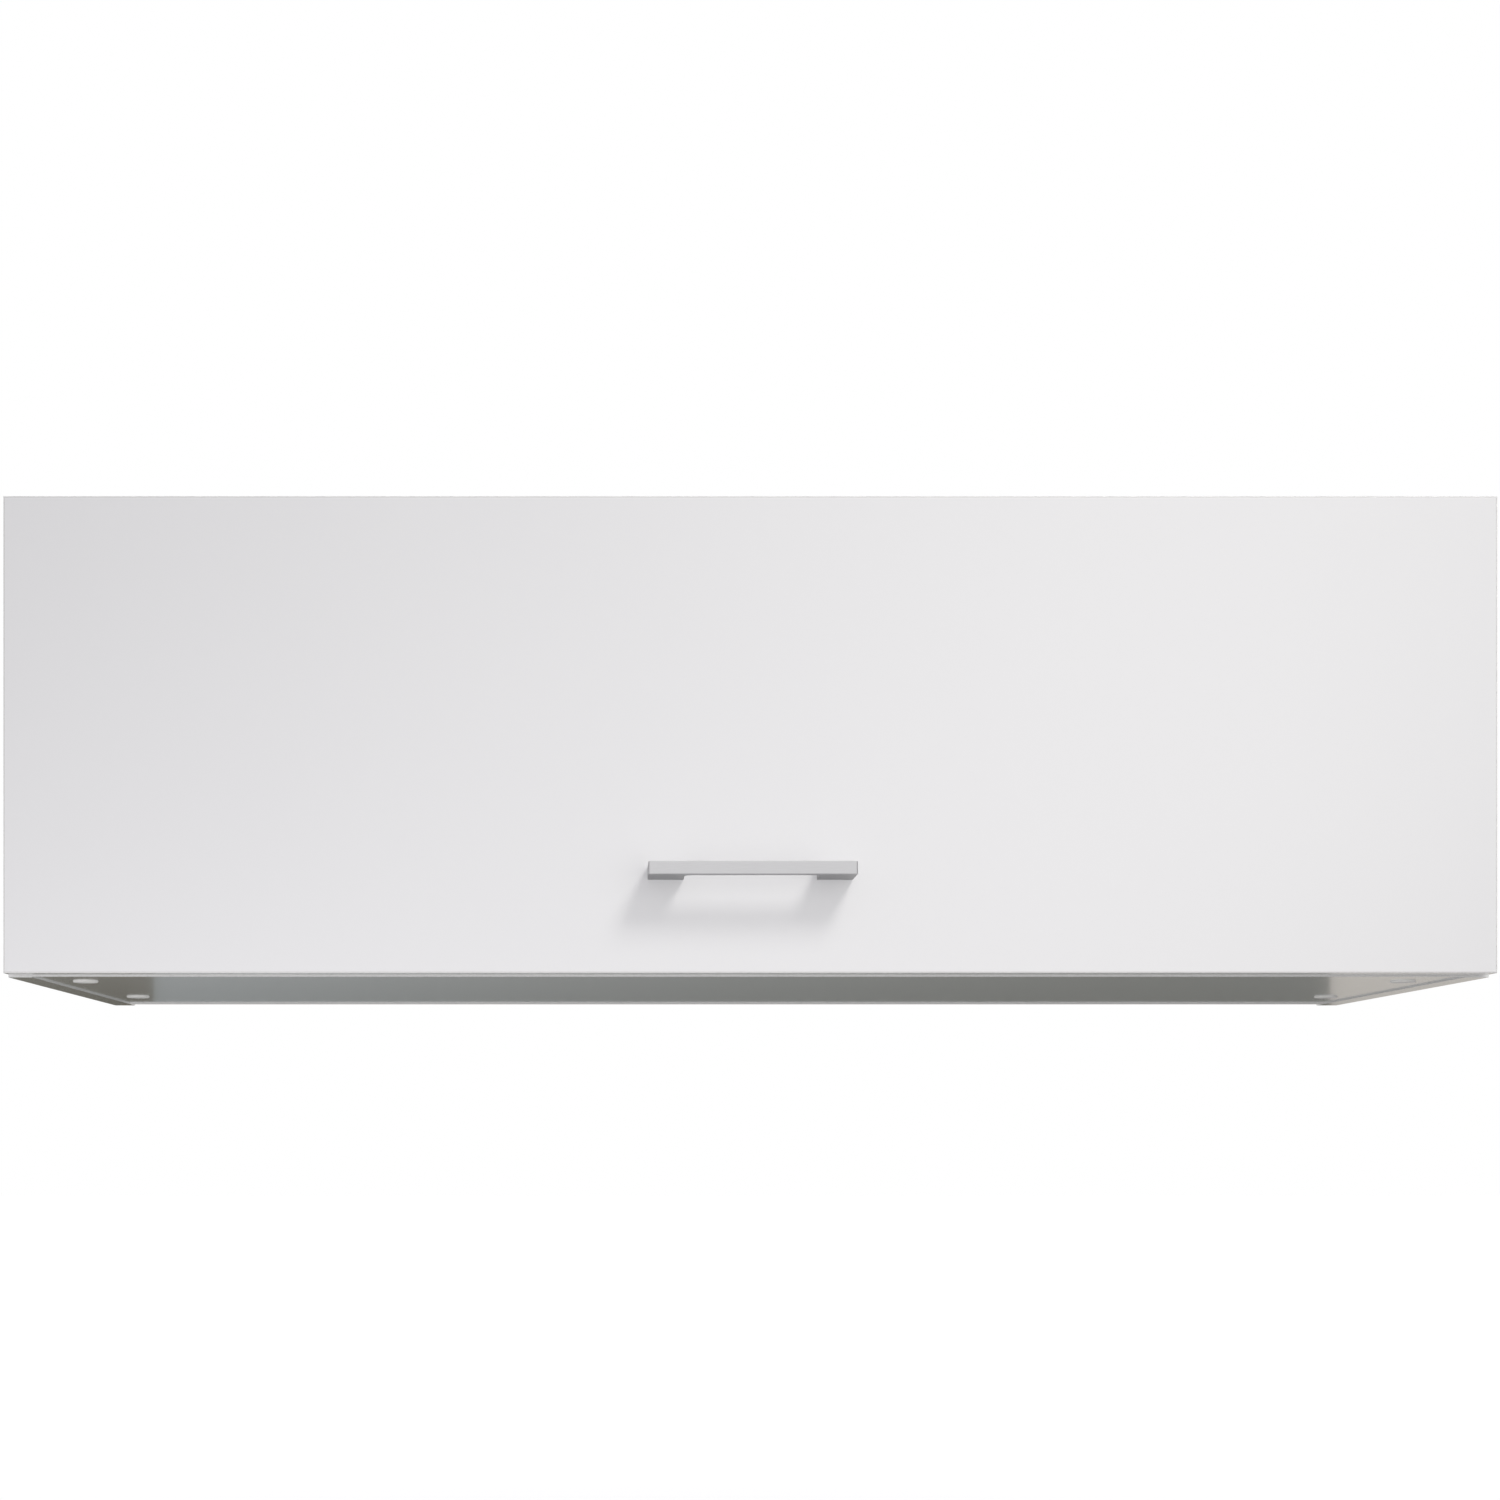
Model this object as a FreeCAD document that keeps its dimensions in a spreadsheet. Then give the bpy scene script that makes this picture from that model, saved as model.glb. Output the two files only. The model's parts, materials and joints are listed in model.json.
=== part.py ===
import FreeCAD, Part

import math
import operator
import os

import Sketcher
from FreeCAD import Placement, Rotation, Vector

# Wall cabinet with a lift up flap: a box of 16 mm boards that hangs on two wall plates, a flap on
# two single pivot cup hinges, and a spring lift with a lever and a link on each side panel.
# Millimetres, +Z up, front towards -Y, wall plane y = 0, x = 0 in the middle of the cabinet, and
# z = 0 on the hanging line, halfway between the holes of the wall plates.

doc = FreeCAD.newDocument("lift_up_wall_cabinet")
sheet = doc.addObject("Spreadsheet::Sheet", "dims")

OPERATIONS = {"+": operator.add, "-": operator.sub, "*": operator.mul, "/": operator.truediv}


class Size:
    """A length that knows its expression on the sheet and its number as the sheet stands now."""

    def __init__(self, text, number):
        self.text = text
        self.number = number

    def __add__(self, other):
        return combine(self, "+", other)

    def __radd__(self, other):
        return combine(other, "+", self)

    def __sub__(self, other):
        return combine(self, "-", other)

    def __rsub__(self, other):
        return combine(other, "-", self)

    def __mul__(self, other):
        return combine(self, "*", other)

    def __rmul__(self, other):
        return combine(other, "*", self)

    def __truediv__(self, other):
        return combine(self, "/", other)

    def __neg__(self):
        return combine(0, "-", self)


def as_size(item):
    """A plain number counts as a size without a cell."""
    return item if isinstance(item, Size) else Size(str(float(item)), float(item))


def combine(left, sign, right):
    """The sum, difference, product or quotient of two sizes, as expression and as number."""
    left = as_size(left)
    right = as_size(right)
    return Size(f"({left.text} {sign} {right.text})", OPERATIONS[sign](left.number, right.number))


cell_count = 0


def size(name, number):
    """A driving size: a cell with an alias on the sheet."""
    global cell_count
    cell_count += 1
    sheet.set(f"A{cell_count}", name)
    sheet.set(f"B{cell_count}", str(number))
    sheet.setAlias(f"B{cell_count}", name)
    return Size(f"dims.{name}", float(number))


# ---------------------------------------------------------------- driving sizes
# carcass
cab_width = size("cab_width", 1000)
cab_height = size("cab_height", 320)
carcass_depth = size("carcass_depth", 302)
panel_thk = size("panel_thk", 16)
edging_thk = size("edging_thk", 1)
edging_round = size("edging_round", 0.8)
edging_stand = size("edging_stand", 0.5)
bottom_recess = size("bottom_recess", 1)
hang_drop = size("hang_drop", 58)
back_thk = size("back_thk", 3)
back_inset = size("back_inset", 15)
groove_depth = size("groove_depth", 8)
groove_play = size("groove_play", 0.2)
back_screw_pitch = size("back_screw_pitch", 300)
bore_play = size("bore_play", 0.2)

# cam fittings and dowels
cam_dia = size("cam_dia", 15)
cam_past_bolt = size("cam_past_bolt", 4.5)
cam_drive = size("cam_drive", 6)
cam_drive_slot = size("cam_drive_slot", 1.6)
cam_drive_depth = size("cam_drive_depth", 2)
cam_from_end = size("cam_from_end", 24)
cam_from_front = size("cam_from_front", 48)
cam_pitch = size("cam_pitch", 160)
bolt_dia = size("bolt_dia", 5)
bolt_grip = size("bolt_grip", 11)
bolt_head = size("bolt_head", 7)
bolt_head_thk = size("bolt_head_thk", 3)
bolt_bore = size("bolt_bore", 8)
dowel_dia = size("dowel_dia", 8)
dowel_length = size("dowel_length", 30)
dowel_in_side = size("dowel_in_side", 12)
cap_dia = size("cap_dia", 17.5)
cap_thk = size("cap_thk", 0.9)
cap_bevel = size("cap_bevel", 0.45)

# flap and handle
flap_thk = size("flap_thk", 16)
flap_gap = size("flap_gap", 3)
side_reveal = size("side_reveal", 2)
bottom_reveal = size("bottom_reveal", 1.5)
top_reveal = size("top_reveal", 0.5)
bumper_dia = size("bumper_dia", 8)
bumper_crown = size("bumper_crown", 5.4)
bumper_rise = size("bumper_rise", 20)
rest_gap = size("rest_gap", 0.3)
handle_length = size("handle_length", 137)
handle_pitch = size("handle_pitch", 128)
handle_high = size("handle_high", 8.7)
handle_bar = size("handle_bar", 5.5)
handle_reach = size("handle_reach", 30)
handle_leg = size("handle_leg", 24)
handle_crook = size("handle_crook", 5)
handle_rise = size("handle_rise", 68)
handle_end_round = size("handle_end_round", 1.4)
handle_arris = size("handle_arris", 0.55)
handle_thread = size("handle_thread", 4)
handle_thread_depth = size("handle_thread_depth", 15)
handle_bite = size("handle_bite", 10)

# hinges
hinge_inset = size("hinge_inset", 120)
cup_dia = size("cup_dia", 35)
cup_depth = size("cup_depth", 13)
cup_wall = size("cup_wall", 0.8)
cup_edge = size("cup_edge", 3)
flange_rim = size("flange_rim", 0.5)
flange_thk = size("flange_thk", 1.2)
flange_pitch = size("flange_pitch", 45)
flange_offset = size("flange_offset", 9.5)
axis_depth = size("axis_depth", 9.3)
axis_below = size("axis_below", 7.8)
hinge_pin_dia = size("hinge_pin_dia", 3)
eye_dia = size("eye_dia", 5)
eye_width = size("eye_width", 10)
cheek_thk = size("cheek_thk", 3)
cheek_play = size("cheek_play", 0.4)
running_play = size("running_play", 0.1)
neck_length = size("neck_length", 12.2)
neck_relief = size("neck_relief", 0.7)
hinge_arm_thk = size("hinge_arm_thk", 4)
elbow_inner = size("elbow_inner", 1)
neck_land = size("neck_land", 6)
channel_web = size("channel_web", 2)
channel_wall = size("channel_wall", 1.5)
channel_length = size("channel_length", 52)
channel_from_front = size("channel_from_front", 8)
channel_play = size("channel_play", 0.5)
arm_screw_rear = size("arm_screw_rear", 14)
block_ahead = size("block_ahead", 8)
block_behind = size("block_behind", 2)
plate_base = size("plate_base", 2.5)
plate_row = size("plate_row", 37)
plate_pitch = size("plate_pitch", 32)

# spring lifts
lift_back = size("lift_back", 95)
lift_drop = size("lift_drop", 75)
bracket_reach = size("bracket_reach", 12)
bracket_drop = size("bracket_drop", 84)
housing_length = size("housing_length", 130)
housing_high = size("housing_high", 76)
housing_ahead = size("housing_ahead", 35)
housing_above = size("housing_above", 37)
housing_thk = size("housing_thk", 18)
housing_round = size("housing_round", 8)
housing_cut = size("housing_cut", 25)
housing_screw_edge = size("housing_screw_edge", 13)
cover_thk = size("cover_thk", 2.5)
cover_bevel = size("cover_bevel", 1.2)
layer_gap = size("layer_gap", 1)
lever_thk = size("lever_thk", 4)
link_thk = size("link_thk", 3)
lever_pin_dia = size("lever_pin_dia", 8)
link_pin_dia = size("link_pin_dia", 6)
pin_grip = size("pin_grip", 9)
pivot_eye_wall = size("pivot_eye_wall", 7.2)
knee_eye_wall = size("knee_eye_wall", 5.4)
link_eye_wall = size("link_eye_wall", 4.2)
open_play = size("open_play", 0.6)
rivet_head = size("rivet_head", 1.6)
rivet_rim = size("rivet_rim", 2)
rivet_bevel = size("rivet_bevel", 0.8)
bracket_base = size("bracket_base", 2)
bracket_high = size("bracket_high", 46)
ear_root = size("ear_root", 15)

# hangers and wall plates
wall_plate_width = size("wall_plate_width", 60)
wall_plate_thk = size("wall_plate_thk", 2)
wall_plate_low = size("wall_plate_low", 26)
wall_plate_step = size("wall_plate_step", 6)
wall_plate_lip = size("wall_plate_lip", 6)
wall_plate_fold = size("wall_plate_fold", 1)
wall_plate_round = size("wall_plate_round", 5)
wall_hole_pitch = size("wall_hole_pitch", 32)
wall_hole_dia = size("wall_hole_dia", 6.5)
hook_thk = size("hook_thk", 4)
hook_tooth = size("hook_tooth", 3)
hook_width = size("hook_width", 10)
hook_tooth_reach = size("hook_tooth_reach", 5)
hook_block_from_front = size("hook_block_from_front", 8)
hook_block_long = size("hook_block_long", 12)
hook_block_below = size("hook_block_below", 7)
hook_block_above = size("hook_block_above", 5)
hanger_screw_pitch = size("hanger_screw_pitch", 22)
hanger_from_top = size("hanger_from_top", 1)
hanger_depth = size("hanger_depth", 46)
hanger_high = size("hanger_high", 63)
hanger_thk = size("hanger_thk", 18)
hanger_wall = size("hanger_wall", 2)
hanger_head = size("hanger_head", 9)
peg_dia = size("peg_dia", 10)
peg_length = size("peg_length", 11)
peg_pitch = size("peg_pitch", 30)
peg_from_back = size("peg_from_back", 11)

# screws
screw_dia = size("screw_dia", 3.5)
screw_head = size("screw_head", 6.8)
screw_head_thk = size("screw_head_thk", 2)
screw_bite = size("screw_bite", 11)
housing_screw_dia = size("housing_screw_dia", 5)
housing_screw_head = size("housing_screw_head", 10)
housing_screw_head_thk = size("housing_screw_head_thk", 2.5)
adjust_screw_dia = size("adjust_screw_dia", 6)
adjust_screw_head = size("adjust_screw_head", 9)
adjust_screw_head_thk = size("adjust_screw_head_thk", 2.4)

# ---------------------------------------------------------------- places worked out from them
half = cab_width / 2
inner = half - panel_thk
top = hang_drop
bottom = top - cab_height
under_top = top - panel_thk
floor_low = bottom + bottom_recess
floor_top = floor_low + panel_thk
front = -carcass_depth
board_front = front + edging_thk
back_rear = -back_inset
back_front = back_rear - back_thk

flap_back = front - flap_gap
flap_front = flap_back - flap_thk
flap_half = half - side_reveal
flap_low = bottom + bottom_reveal
flap_high = top - top_reveal
handle_mid = bottom + handle_rise

axis_y = flap_back - axis_depth
axis_z = flap_high - axis_below
hinge_x = half - hinge_inset
cup_z = flap_high - cup_edge - cup_dia / 2
arm_top = axis_z - neck_length
arm_low = arm_top - hinge_arm_thk
web_top = arm_low + channel_web
channel_front = front + channel_from_front
channel_rear = channel_front + channel_length
channel_half = eye_width / 2 + channel_wall
arm_screw_y = channel_rear - arm_screw_rear
plate_under = under_top - plate_base
plate_y = front + plate_row

lever_y = front + lift_back
lever_z = top - lift_drop
bracket_y = flap_back + bracket_reach
bracket_z = axis_z - bracket_drop
knee_y = lever_y + bracket_y - axis_y
knee_z = lever_z + bracket_z - axis_z
housing_x = inner - housing_thk
cover_x = housing_x - cover_thk
lever_out = cover_x - layer_gap
lever_in = lever_out - lever_thk
link_out = lever_in - layer_gap
link_in = link_out - link_thk
link_eye = link_pin_dia / 2 + link_eye_wall
housing_front = lever_y - housing_ahead
housing_rear = housing_front + housing_length
housing_top = lever_z + housing_above
housing_low = housing_top - housing_high

hanger_top = under_top - hanger_from_top
hanger_low = hanger_top - hanger_high
hanger_front = back_front - hanger_depth
hook_top = hanger_top - hanger_head
lip_top = hook_top - hook_thk
hook_block_front = hanger_front + hook_block_from_front
hook_block_rear = hook_block_front + hook_block_long
hanger_in = inner - hanger_thk
hanger_x = inner - hanger_thk / 2
wall_plate_x = inner - wall_plate_width / 2

cam_depth = panel_thk / 2 + cam_past_bolt
cam_rows = [front + cam_from_front, front + cam_from_front + cam_pitch]
dowel_row = front + cam_from_front + cam_pitch / 2
joint_heights = [floor_low + panel_thk / 2, top - panel_thk / 2]

# ---------------------------------------------------------------- drawing helpers
PLANES = {"XY": "XY_Plane", "XZ": "XZ_Plane", "YZ": "YZ_Plane"}


def tie(sketch, kind, elements, length):
    """A dimension of the sketch, bound to the sheet."""
    length = as_size(length)
    index = sketch.addConstraint(Sketcher.Constraint(kind, *elements, length.number))
    sketch.renameConstraint(index, f"size{index}")
    sketch.setExpression(f"Constraints.size{index}", length.text)


def tie_point(sketch, element, end, place):
    """Both distances of a point from the sketch's origin."""
    tie(sketch, "DistanceX", (-1, 1, element, end), place[0])
    tie(sketch, "DistanceY", (-1, 1, element, end), place[1])


def flat_point(place):
    return Vector(as_size(place[0]).number, as_size(place[1]).number, 0)


def chain(*points):
    """A closed outline of straight lines through the points."""

    def draw(sketch):
        first = len(sketch.Geometry)
        count = len(points)
        for step in range(count):
            start = flat_point(points[step])
            end = flat_point(points[(step + 1) % count])
            sketch.addGeometry(Part.LineSegment(start, end))
        for step in range(count):
            follower = first + (step + 1) % count
            sketch.addConstraint(Sketcher.Constraint("Coincident", first + step, 2, follower, 1))
        for step in range(count):
            tie_point(sketch, first + step, 1, points[step])

    return draw


def rect(low_a, low_b, high_a, high_b):
    """A rectangle between two corners."""
    return chain((low_a, low_b), (high_a, low_b), (high_a, high_b), (low_a, high_b))


def disc(centre_a, centre_b, diameter):
    """A full circle."""

    def draw(sketch):
        element = len(sketch.Geometry)
        radius = as_size(diameter).number / 2
        centre = flat_point((centre_a, centre_b))
        sketch.addGeometry(Part.Circle(centre, Vector(0, 0, 1), radius))
        tie_point(sketch, element, 3, (centre_a, centre_b))
        tie(sketch, "Diameter", (element,), diameter)

    return draw


def strap(start, end, start_radius, end_radius):
    """Two round ends joined by the two lines that touch both."""

    def draw(sketch):
        first = len(sketch.Geometry)
        centres = (flat_point(start), flat_point(end))
        radii = (as_size(start_radius).number, as_size(end_radius).number)
        along = centres[1] - centres[0]
        heading = math.atan2(along.y, along.x)
        lean = math.acos((radii[0] - radii[1]) / along.Length)
        left = heading + lean
        right = heading - lean

        def rim(which, angle):
            return centres[which] + Vector(math.cos(angle), math.sin(angle), 0) * radii[which]

        axis = Vector(0, 0, 1)
        circles = [Part.Circle(centres[which], axis, radii[which]) for which in (0, 1)]
        sketch.addGeometry(Part.ArcOfCircle(circles[0], left, right + 2 * math.pi))
        sketch.addGeometry(Part.ArcOfCircle(circles[1], right, left))
        sketch.addGeometry(Part.LineSegment(rim(0, right), rim(1, right)))
        sketch.addGeometry(Part.LineSegment(rim(1, left), rim(0, left)))
        joins = ((0, 2, 2, 1), (2, 2, 1, 1), (1, 2, 3, 1), (3, 2, 0, 1))
        for one, one_end, two, two_end in joins:
            ends = (first + one, one_end, first + two, two_end)
            sketch.addConstraint(Sketcher.Constraint("Tangent", *ends))
        for element, centre, radius in ((first, start, start_radius), (first + 1, end, end_radius)):
            tie_point(sketch, element, 3, centre)
            tie(sketch, "Radius", (element,), radius)

    return draw


def new_body(name):
    body = doc.addObject("PartDesign::Body", name)
    body.Label = name
    return body


def sketch_on(body, plane, level, shapes):
    """A sketch on one of the body's own planes, moved to a level: x for YZ, y for XZ, z for XY."""
    sketch = body.newObject("Sketcher::SketchObject", f"{body.Name}_sketch")
    role = PLANES[plane]
    sketch.AttachmentSupport = [(next(p for p in body.Origin.OriginFeatures if p.Role == role), "")]
    sketch.MapMode = "FlatFace"
    offset = -as_size(level) if plane == "XZ" else as_size(level)
    sketch.setExpression("AttachmentOffset.Base.z", offset.text)
    for shape in shapes:
        shape(sketch)
    return sketch


def add(body, plane, level, length, *shapes):
    """Material from a level on: towards +X from YZ, towards +Z from XY, towards -Y from XZ."""
    pad = body.newObject("PartDesign::Pad", f"{body.Name}_pad")
    pad.Profile = sketch_on(body, plane, level, shapes)
    pad.setExpression("Length", as_size(length).text)
    body.Tip = pad
    return pad


def cut(body, plane, level, length, *shapes):
    """A hollow from a level on, in the same direction as add."""
    pocket = body.newObject("PartDesign::Pocket", f"{body.Name}_pocket")
    pocket.Profile = sketch_on(body, plane, level, shapes)
    pocket.Reversed = True
    pocket.setExpression("Length", as_size(length).text)
    body.Tip = pocket
    return pocket


def along(edge, direction):
    """True for a straight edge that runs along the direction."""
    if edge.Curve.TypeId != "Part::GeomLine":
        return False
    run = edge.Vertexes[-1].Point - edge.Vertexes[0].Point
    return abs(abs(run.dot(direction)) - run.Length) < 1e-6


def edges_through(body, direction, points):
    """Names of the edges along a direction whose line passes through one of the points."""
    doc.recompute()
    names = []
    for index, edge in enumerate(body.Tip.Shape.Edges):
        if not along(edge, direction):
            continue
        for point in points:
            place = Vector(*(as_size(part).number for part in point))
            if (edge.Vertexes[0].Point - place).cross(direction).Length < 1e-4:
                names.append(f"Edge{index + 1}")
                break
    return names


def round_edges(body, radius, *groups):
    """Fillet the edges given as (direction, points) groups."""
    names = [name for direction, points in groups for name in edges_through(body, direction, points)]
    base = body.Tip
    fillet = body.newObject("PartDesign::Fillet", f"{body.Name}_fillet")
    fillet.Base = (base, names)
    fillet.setExpression("Radius", as_size(radius).text)
    body.Tip = fillet
    return fillet


def bevel_face(body, level, length):
    """Chamfer every edge of the body's face at x = level."""
    doc.recompute()
    names = []
    for index, edge in enumerate(body.Tip.Shape.Edges):
        if all(abs(corner.Point.x - level.number) < 1e-6 for corner in edge.Vertexes):
            names.append(f"Edge{index + 1}")
    base = body.Tip
    chamfer = body.newObject("PartDesign::Chamfer", f"{body.Name}_chamfer")
    chamfer.Base = (base, names)
    chamfer.setExpression("Size", as_size(length).text)
    body.Tip = chamfer
    return chamfer


def turned(name, *profile):
    """A body turned about Z from a profile of (radius, height) points."""
    body = new_body(name)
    turn = body.newObject("PartDesign::Revolution", f"{name}_turn")
    turn.Profile = sketch_on(body, "XZ", 0, [chain(*profile)])
    turn.ReferenceAxis = (turn.Profile[0], ["V_Axis"])
    turn.Angle = 360
    body.Tip = turn
    return body


def copies(name, places):
    """One node of separate solids: copies of a master body, each at its (master, rotation, place)."""
    links = []
    for master, rotation, place in places:
        link = doc.addObject("App::Link", f"{name}_copy")
        link.LinkedObject = master
        link.Placement = Placement(Vector(), rotation)
        for letter, part in zip("xyz", place):
            link.setExpression(f"Placement.Base.{letter}", as_size(part).text)
        links.append(link)
    group = doc.addObject("Part::Compound", name)
    group.Label = name
    group.Links = links
    return group


def mirrored(body):
    """The left hand copy of a right hand piece."""
    name = body.Label.replace("_right", "_left")
    mirror = doc.addObject("Part::Mirroring", name)
    mirror.Label = name
    mirror.Source = body
    mirror.Normal = (1, 0, 0)
    mirror.Base = (0, 0, 0)
    return mirror


X = Vector(1, 0, 0)
Y = Vector(0, 1, 0)
Z = Vector(0, 0, 1)
UPRIGHT = Rotation()
INWARD = {1: Rotation(Z, -X), -1: Rotation(Z, X)}
OUTWARD = {1: Rotation(Z, X), -1: Rotation(Z, -X)}
FORWARD = Rotation(Z, -Y)
REARWARD = Rotation(Z, Y)
SIDES = (1, -1)

nodes = []


def keep(*pieces):
    """Note the pieces that are written as nodes."""
    nodes.extend(pieces)


def keep_pair(body):
    keep(body, mirrored(body))


# ---------------------------------------------------------------- carcass boards


def side_panel():
    """Side board: back groove, cam bolt and dowel bores, hanger pegs and lift screws."""
    body = new_body("side_panel_right")
    add(body, "YZ", inner, panel_thk, rect(board_front, bottom, 0, top))
    groove = rect(back_front - groove_play / 2, bottom, back_rear + groove_play / 2, top)
    cut(body, "YZ", inner, groove_depth, groove)
    bolts = [disc(y, z, bolt_dia + bore_play) for z in joint_heights for y in cam_rows]
    cut(body, "YZ", inner, bolt_grip + bore_play, *bolts)
    dowels = [disc(dowel_row, z, dowel_dia + bore_play) for z in joint_heights]
    cut(body, "YZ", inner, dowel_in_side + bore_play, *dowels)
    pegs = [disc(y, z, peg_dia + bore_play) for y, z in peg_places()]
    cut(body, "YZ", inner, peg_length + bore_play, *pegs)
    screws = [disc(y, z, housing_screw_dia + bore_play) for y, z in housing_screw_places()]
    cut(body, "YZ", inner, screw_bite + bore_play, *screws)
    return body


def cross_panel(name, low, cam_level, rear):
    """Top or bottom board between the sides, with its cam, bolt and dowel bores."""
    body = new_body(name)
    add(body, "XY", low, panel_thk, rect(-inner, board_front, inner, rear))
    cams = [
        disc(side * (inner - cam_from_end), y, cam_dia + bore_play)
        for side in SIDES
        for y in cam_rows
    ]
    cut(body, "XY", cam_level, cam_depth + bore_play, *cams)
    mid = low + panel_thk / 2
    dowel_in_panel = dowel_length - dowel_in_side + bore_play
    for length, diameter, rows in (
        (cam_from_end, bolt_bore, cam_rows),
        (dowel_in_panel, dowel_dia + bore_play, [dowel_row]),
    ):
        bores = [disc(y, mid, diameter) for y in rows]
        cut(body, "YZ", inner - length, length, *bores)
        cut(body, "YZ", -inner, length, *bores)
    return body


def top_panel():
    """Top board, up to the wall, with the back's groove and the bores for the hinge plates."""
    body = cross_panel("top_panel", under_top, top - cam_depth - bore_play, 0)
    groove = rect(-inner, back_front - groove_play / 2, inner, back_rear + groove_play / 2)
    cut(body, "XY", under_top, groove_depth, groove)
    screws = [disc(x, plate_y, screw_dia + bore_play) for x in plate_screw_places()]
    cut(body, "XY", under_top, screw_bite + bore_play, *screws)
    return body


def bottom_panel():
    """Bottom board, which ends in front of the back, with bores for the back's screws."""
    body = cross_panel("bottom_panel", floor_low, floor_low, back_front)
    screws = [disc(x, z, screw_dia + bore_play) for x, z in back_screw_places()]
    cut(body, "XZ", back_front, screw_bite + bore_play, *screws)
    return body


def carcass_edging():
    """Edge band on the front edges of the four boards, a little proud under the bottom board."""
    body = new_body("carcass_edging")
    outer = chain(
        (-half, bottom),
        (-inner, bottom),
        (-inner, floor_low - edging_stand),
        (inner, floor_low - edging_stand),
        (inner, bottom),
        (half, bottom),
        (half, top),
        (-half, top),
    )
    add(body, "XZ", board_front, edging_thk, outer, rect(-inner, floor_top, inner, under_top))
    return body


def back_screw_places():
    """Centres of the three screws that hold the back on the bottom board, as (x, z)."""
    return [(place * back_screw_pitch, floor_low + panel_thk / 2) for place in (-1, 0, 1)]


def back_panel():
    """Thin back, slid up the side boards' grooves into the top board's, behind the bottom board.

    It has a slot for each hook and holes for its screws.
    """
    body = new_body("back_panel")
    reach = inner + groove_depth - bore_play
    high = under_top + groove_depth - bore_play
    add(body, "XZ", back_rear, back_thk, rect(-reach, bottom, reach, high))
    holes = [disc(x, z, screw_dia + bore_play * 2) for x, z in back_screw_places()]
    cut(body, "XZ", back_rear, back_thk, *holes)
    for side in SIDES:
        edges = sorted((side * (hanger_in + hanger_wall), side * inner), key=lambda s: s.number)
        slot = rect(edges[0], lip_top - hanger_head, edges[1], hanger_top - hanger_wall)
        cut(body, "XZ", back_rear, back_thk, slot)
    return body


# ---------------------------------------------------------------- connectors


def cam():
    """Cam disc, z = 0 its driven face: a hollow for the bolt's head, open to one side, and a cross."""
    body = new_body("cam_master")
    add(body, "XY", -cam_depth, cam_depth, disc(0, 0, cam_dia - bore_play))
    for reach, wide in (
        (bolt_head_thk / 2 + bore_play, bolt_head + bore_play),
        (cam_dia, bolt_dia + bore_play),
    ):
        hollow = rect(-bolt_head_thk / 2 - bore_play, -wide / 2, reach, wide / 2)
        cut(body, "XY", -cam_depth, cam_past_bolt + wide / 2, hollow)
    arm = cam_drive / 2
    slot = cam_drive_slot / 2
    cross = chain(
        (-arm, -slot),
        (-slot, -slot),
        (-slot, -arm),
        (slot, -arm),
        (slot, -slot),
        (arm, -slot),
        (arm, slot),
        (slot, slot),
        (slot, arm),
        (-slot, arm),
        (-slot, slot),
        (-arm, slot),
    )
    cut(body, "XY", -cam_drive_depth, cam_drive_depth, cross)
    return body


def cams(name, level, face_up):
    """Four cams in one board; the slot of each looks at the end of its board."""
    flip = Rotation() if face_up else Rotation(X, 180)
    turn = {1: flip, -1: Rotation(Z, 180).multiply(flip)}
    places = [
        (cam_master, turn[side], (side * (inner - cam_from_end), y, level))
        for side in SIDES
        for y in cam_rows
    ]
    return copies(name, places)


def cam_bolts():
    """Bolts from the side boards into the cams, each with its head on the cam's axis."""
    radius = bolt_dia / 2
    rim = bolt_head / 2
    master = turned(
        "cam_bolt_master",
        (0, -bolt_grip),
        (radius, -bolt_grip),
        (radius, cam_from_end - bolt_head_thk / 2),
        (rim, cam_from_end - bolt_head_thk / 2),
        (rim, cam_from_end + bolt_head_thk / 2),
        (0, cam_from_end + bolt_head_thk / 2),
    )
    places = [
        (master, INWARD[side], (side * inner, y, z))
        for side in SIDES
        for y in cam_rows
        for z in joint_heights
    ]
    return copies("cam_bolts", places)


def dowels():
    """Beech dowels, one at each corner between its two cams."""
    radius = dowel_dia / 2
    master = turned(
        "dowel_master",
        (0, -dowel_in_side),
        (radius, -dowel_in_side),
        (radius, dowel_length - dowel_in_side),
        (0, dowel_length - dowel_in_side),
    )
    places = [
        (master, INWARD[side], (side * inner, dowel_row, z)) for side in SIDES for z in joint_heights
    ]
    return copies("dowels", places)


def cam_cover_caps():
    """Flat round caps with a bevelled rim, over the cams of the bottom board."""
    master = turned(
        "cap_master",
        (0, -cap_thk),
        (cap_dia / 2 - cap_bevel, -cap_thk),
        (cap_dia / 2, 0),
        (0, 0),
    )
    places = [
        (master, UPRIGHT, (side * (inner - cam_from_end), y, floor_low))
        for side in SIDES
        for y in cam_rows
    ]
    return copies("cam_cover_caps", places)


def pan_screw(name, diameter, length, head=screw_head, thickness=screw_head_thk):
    """Screw along +Z with a plain head: z = 0 is the underside of its head."""
    return turned(
        name,
        (0, -thickness),
        (head / 2, -thickness),
        (head / 2, 0),
        (diameter / 2, 0),
        (diameter / 2, length),
        (0, length),
    )


def back_screws():
    master = pan_screw("back_screw_master", screw_dia, screw_bite + back_thk)
    places = [(master, FORWARD, (x, back_rear, z)) for x, z in back_screw_places()]
    return copies("back_screws", places)


def adjust_screw(name, length):
    """Machine screw with a wide head, for what is set once."""
    return pan_screw(name, adjust_screw_dia, length, adjust_screw_head, adjust_screw_head_thk)


# ---------------------------------------------------------------- hangers and wall plates


def peg_places():
    """Centres of the hanger's two pegs on the side board."""
    return [(back_front - peg_from_back, side * peg_pitch / 2) for side in SIDES]


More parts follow.
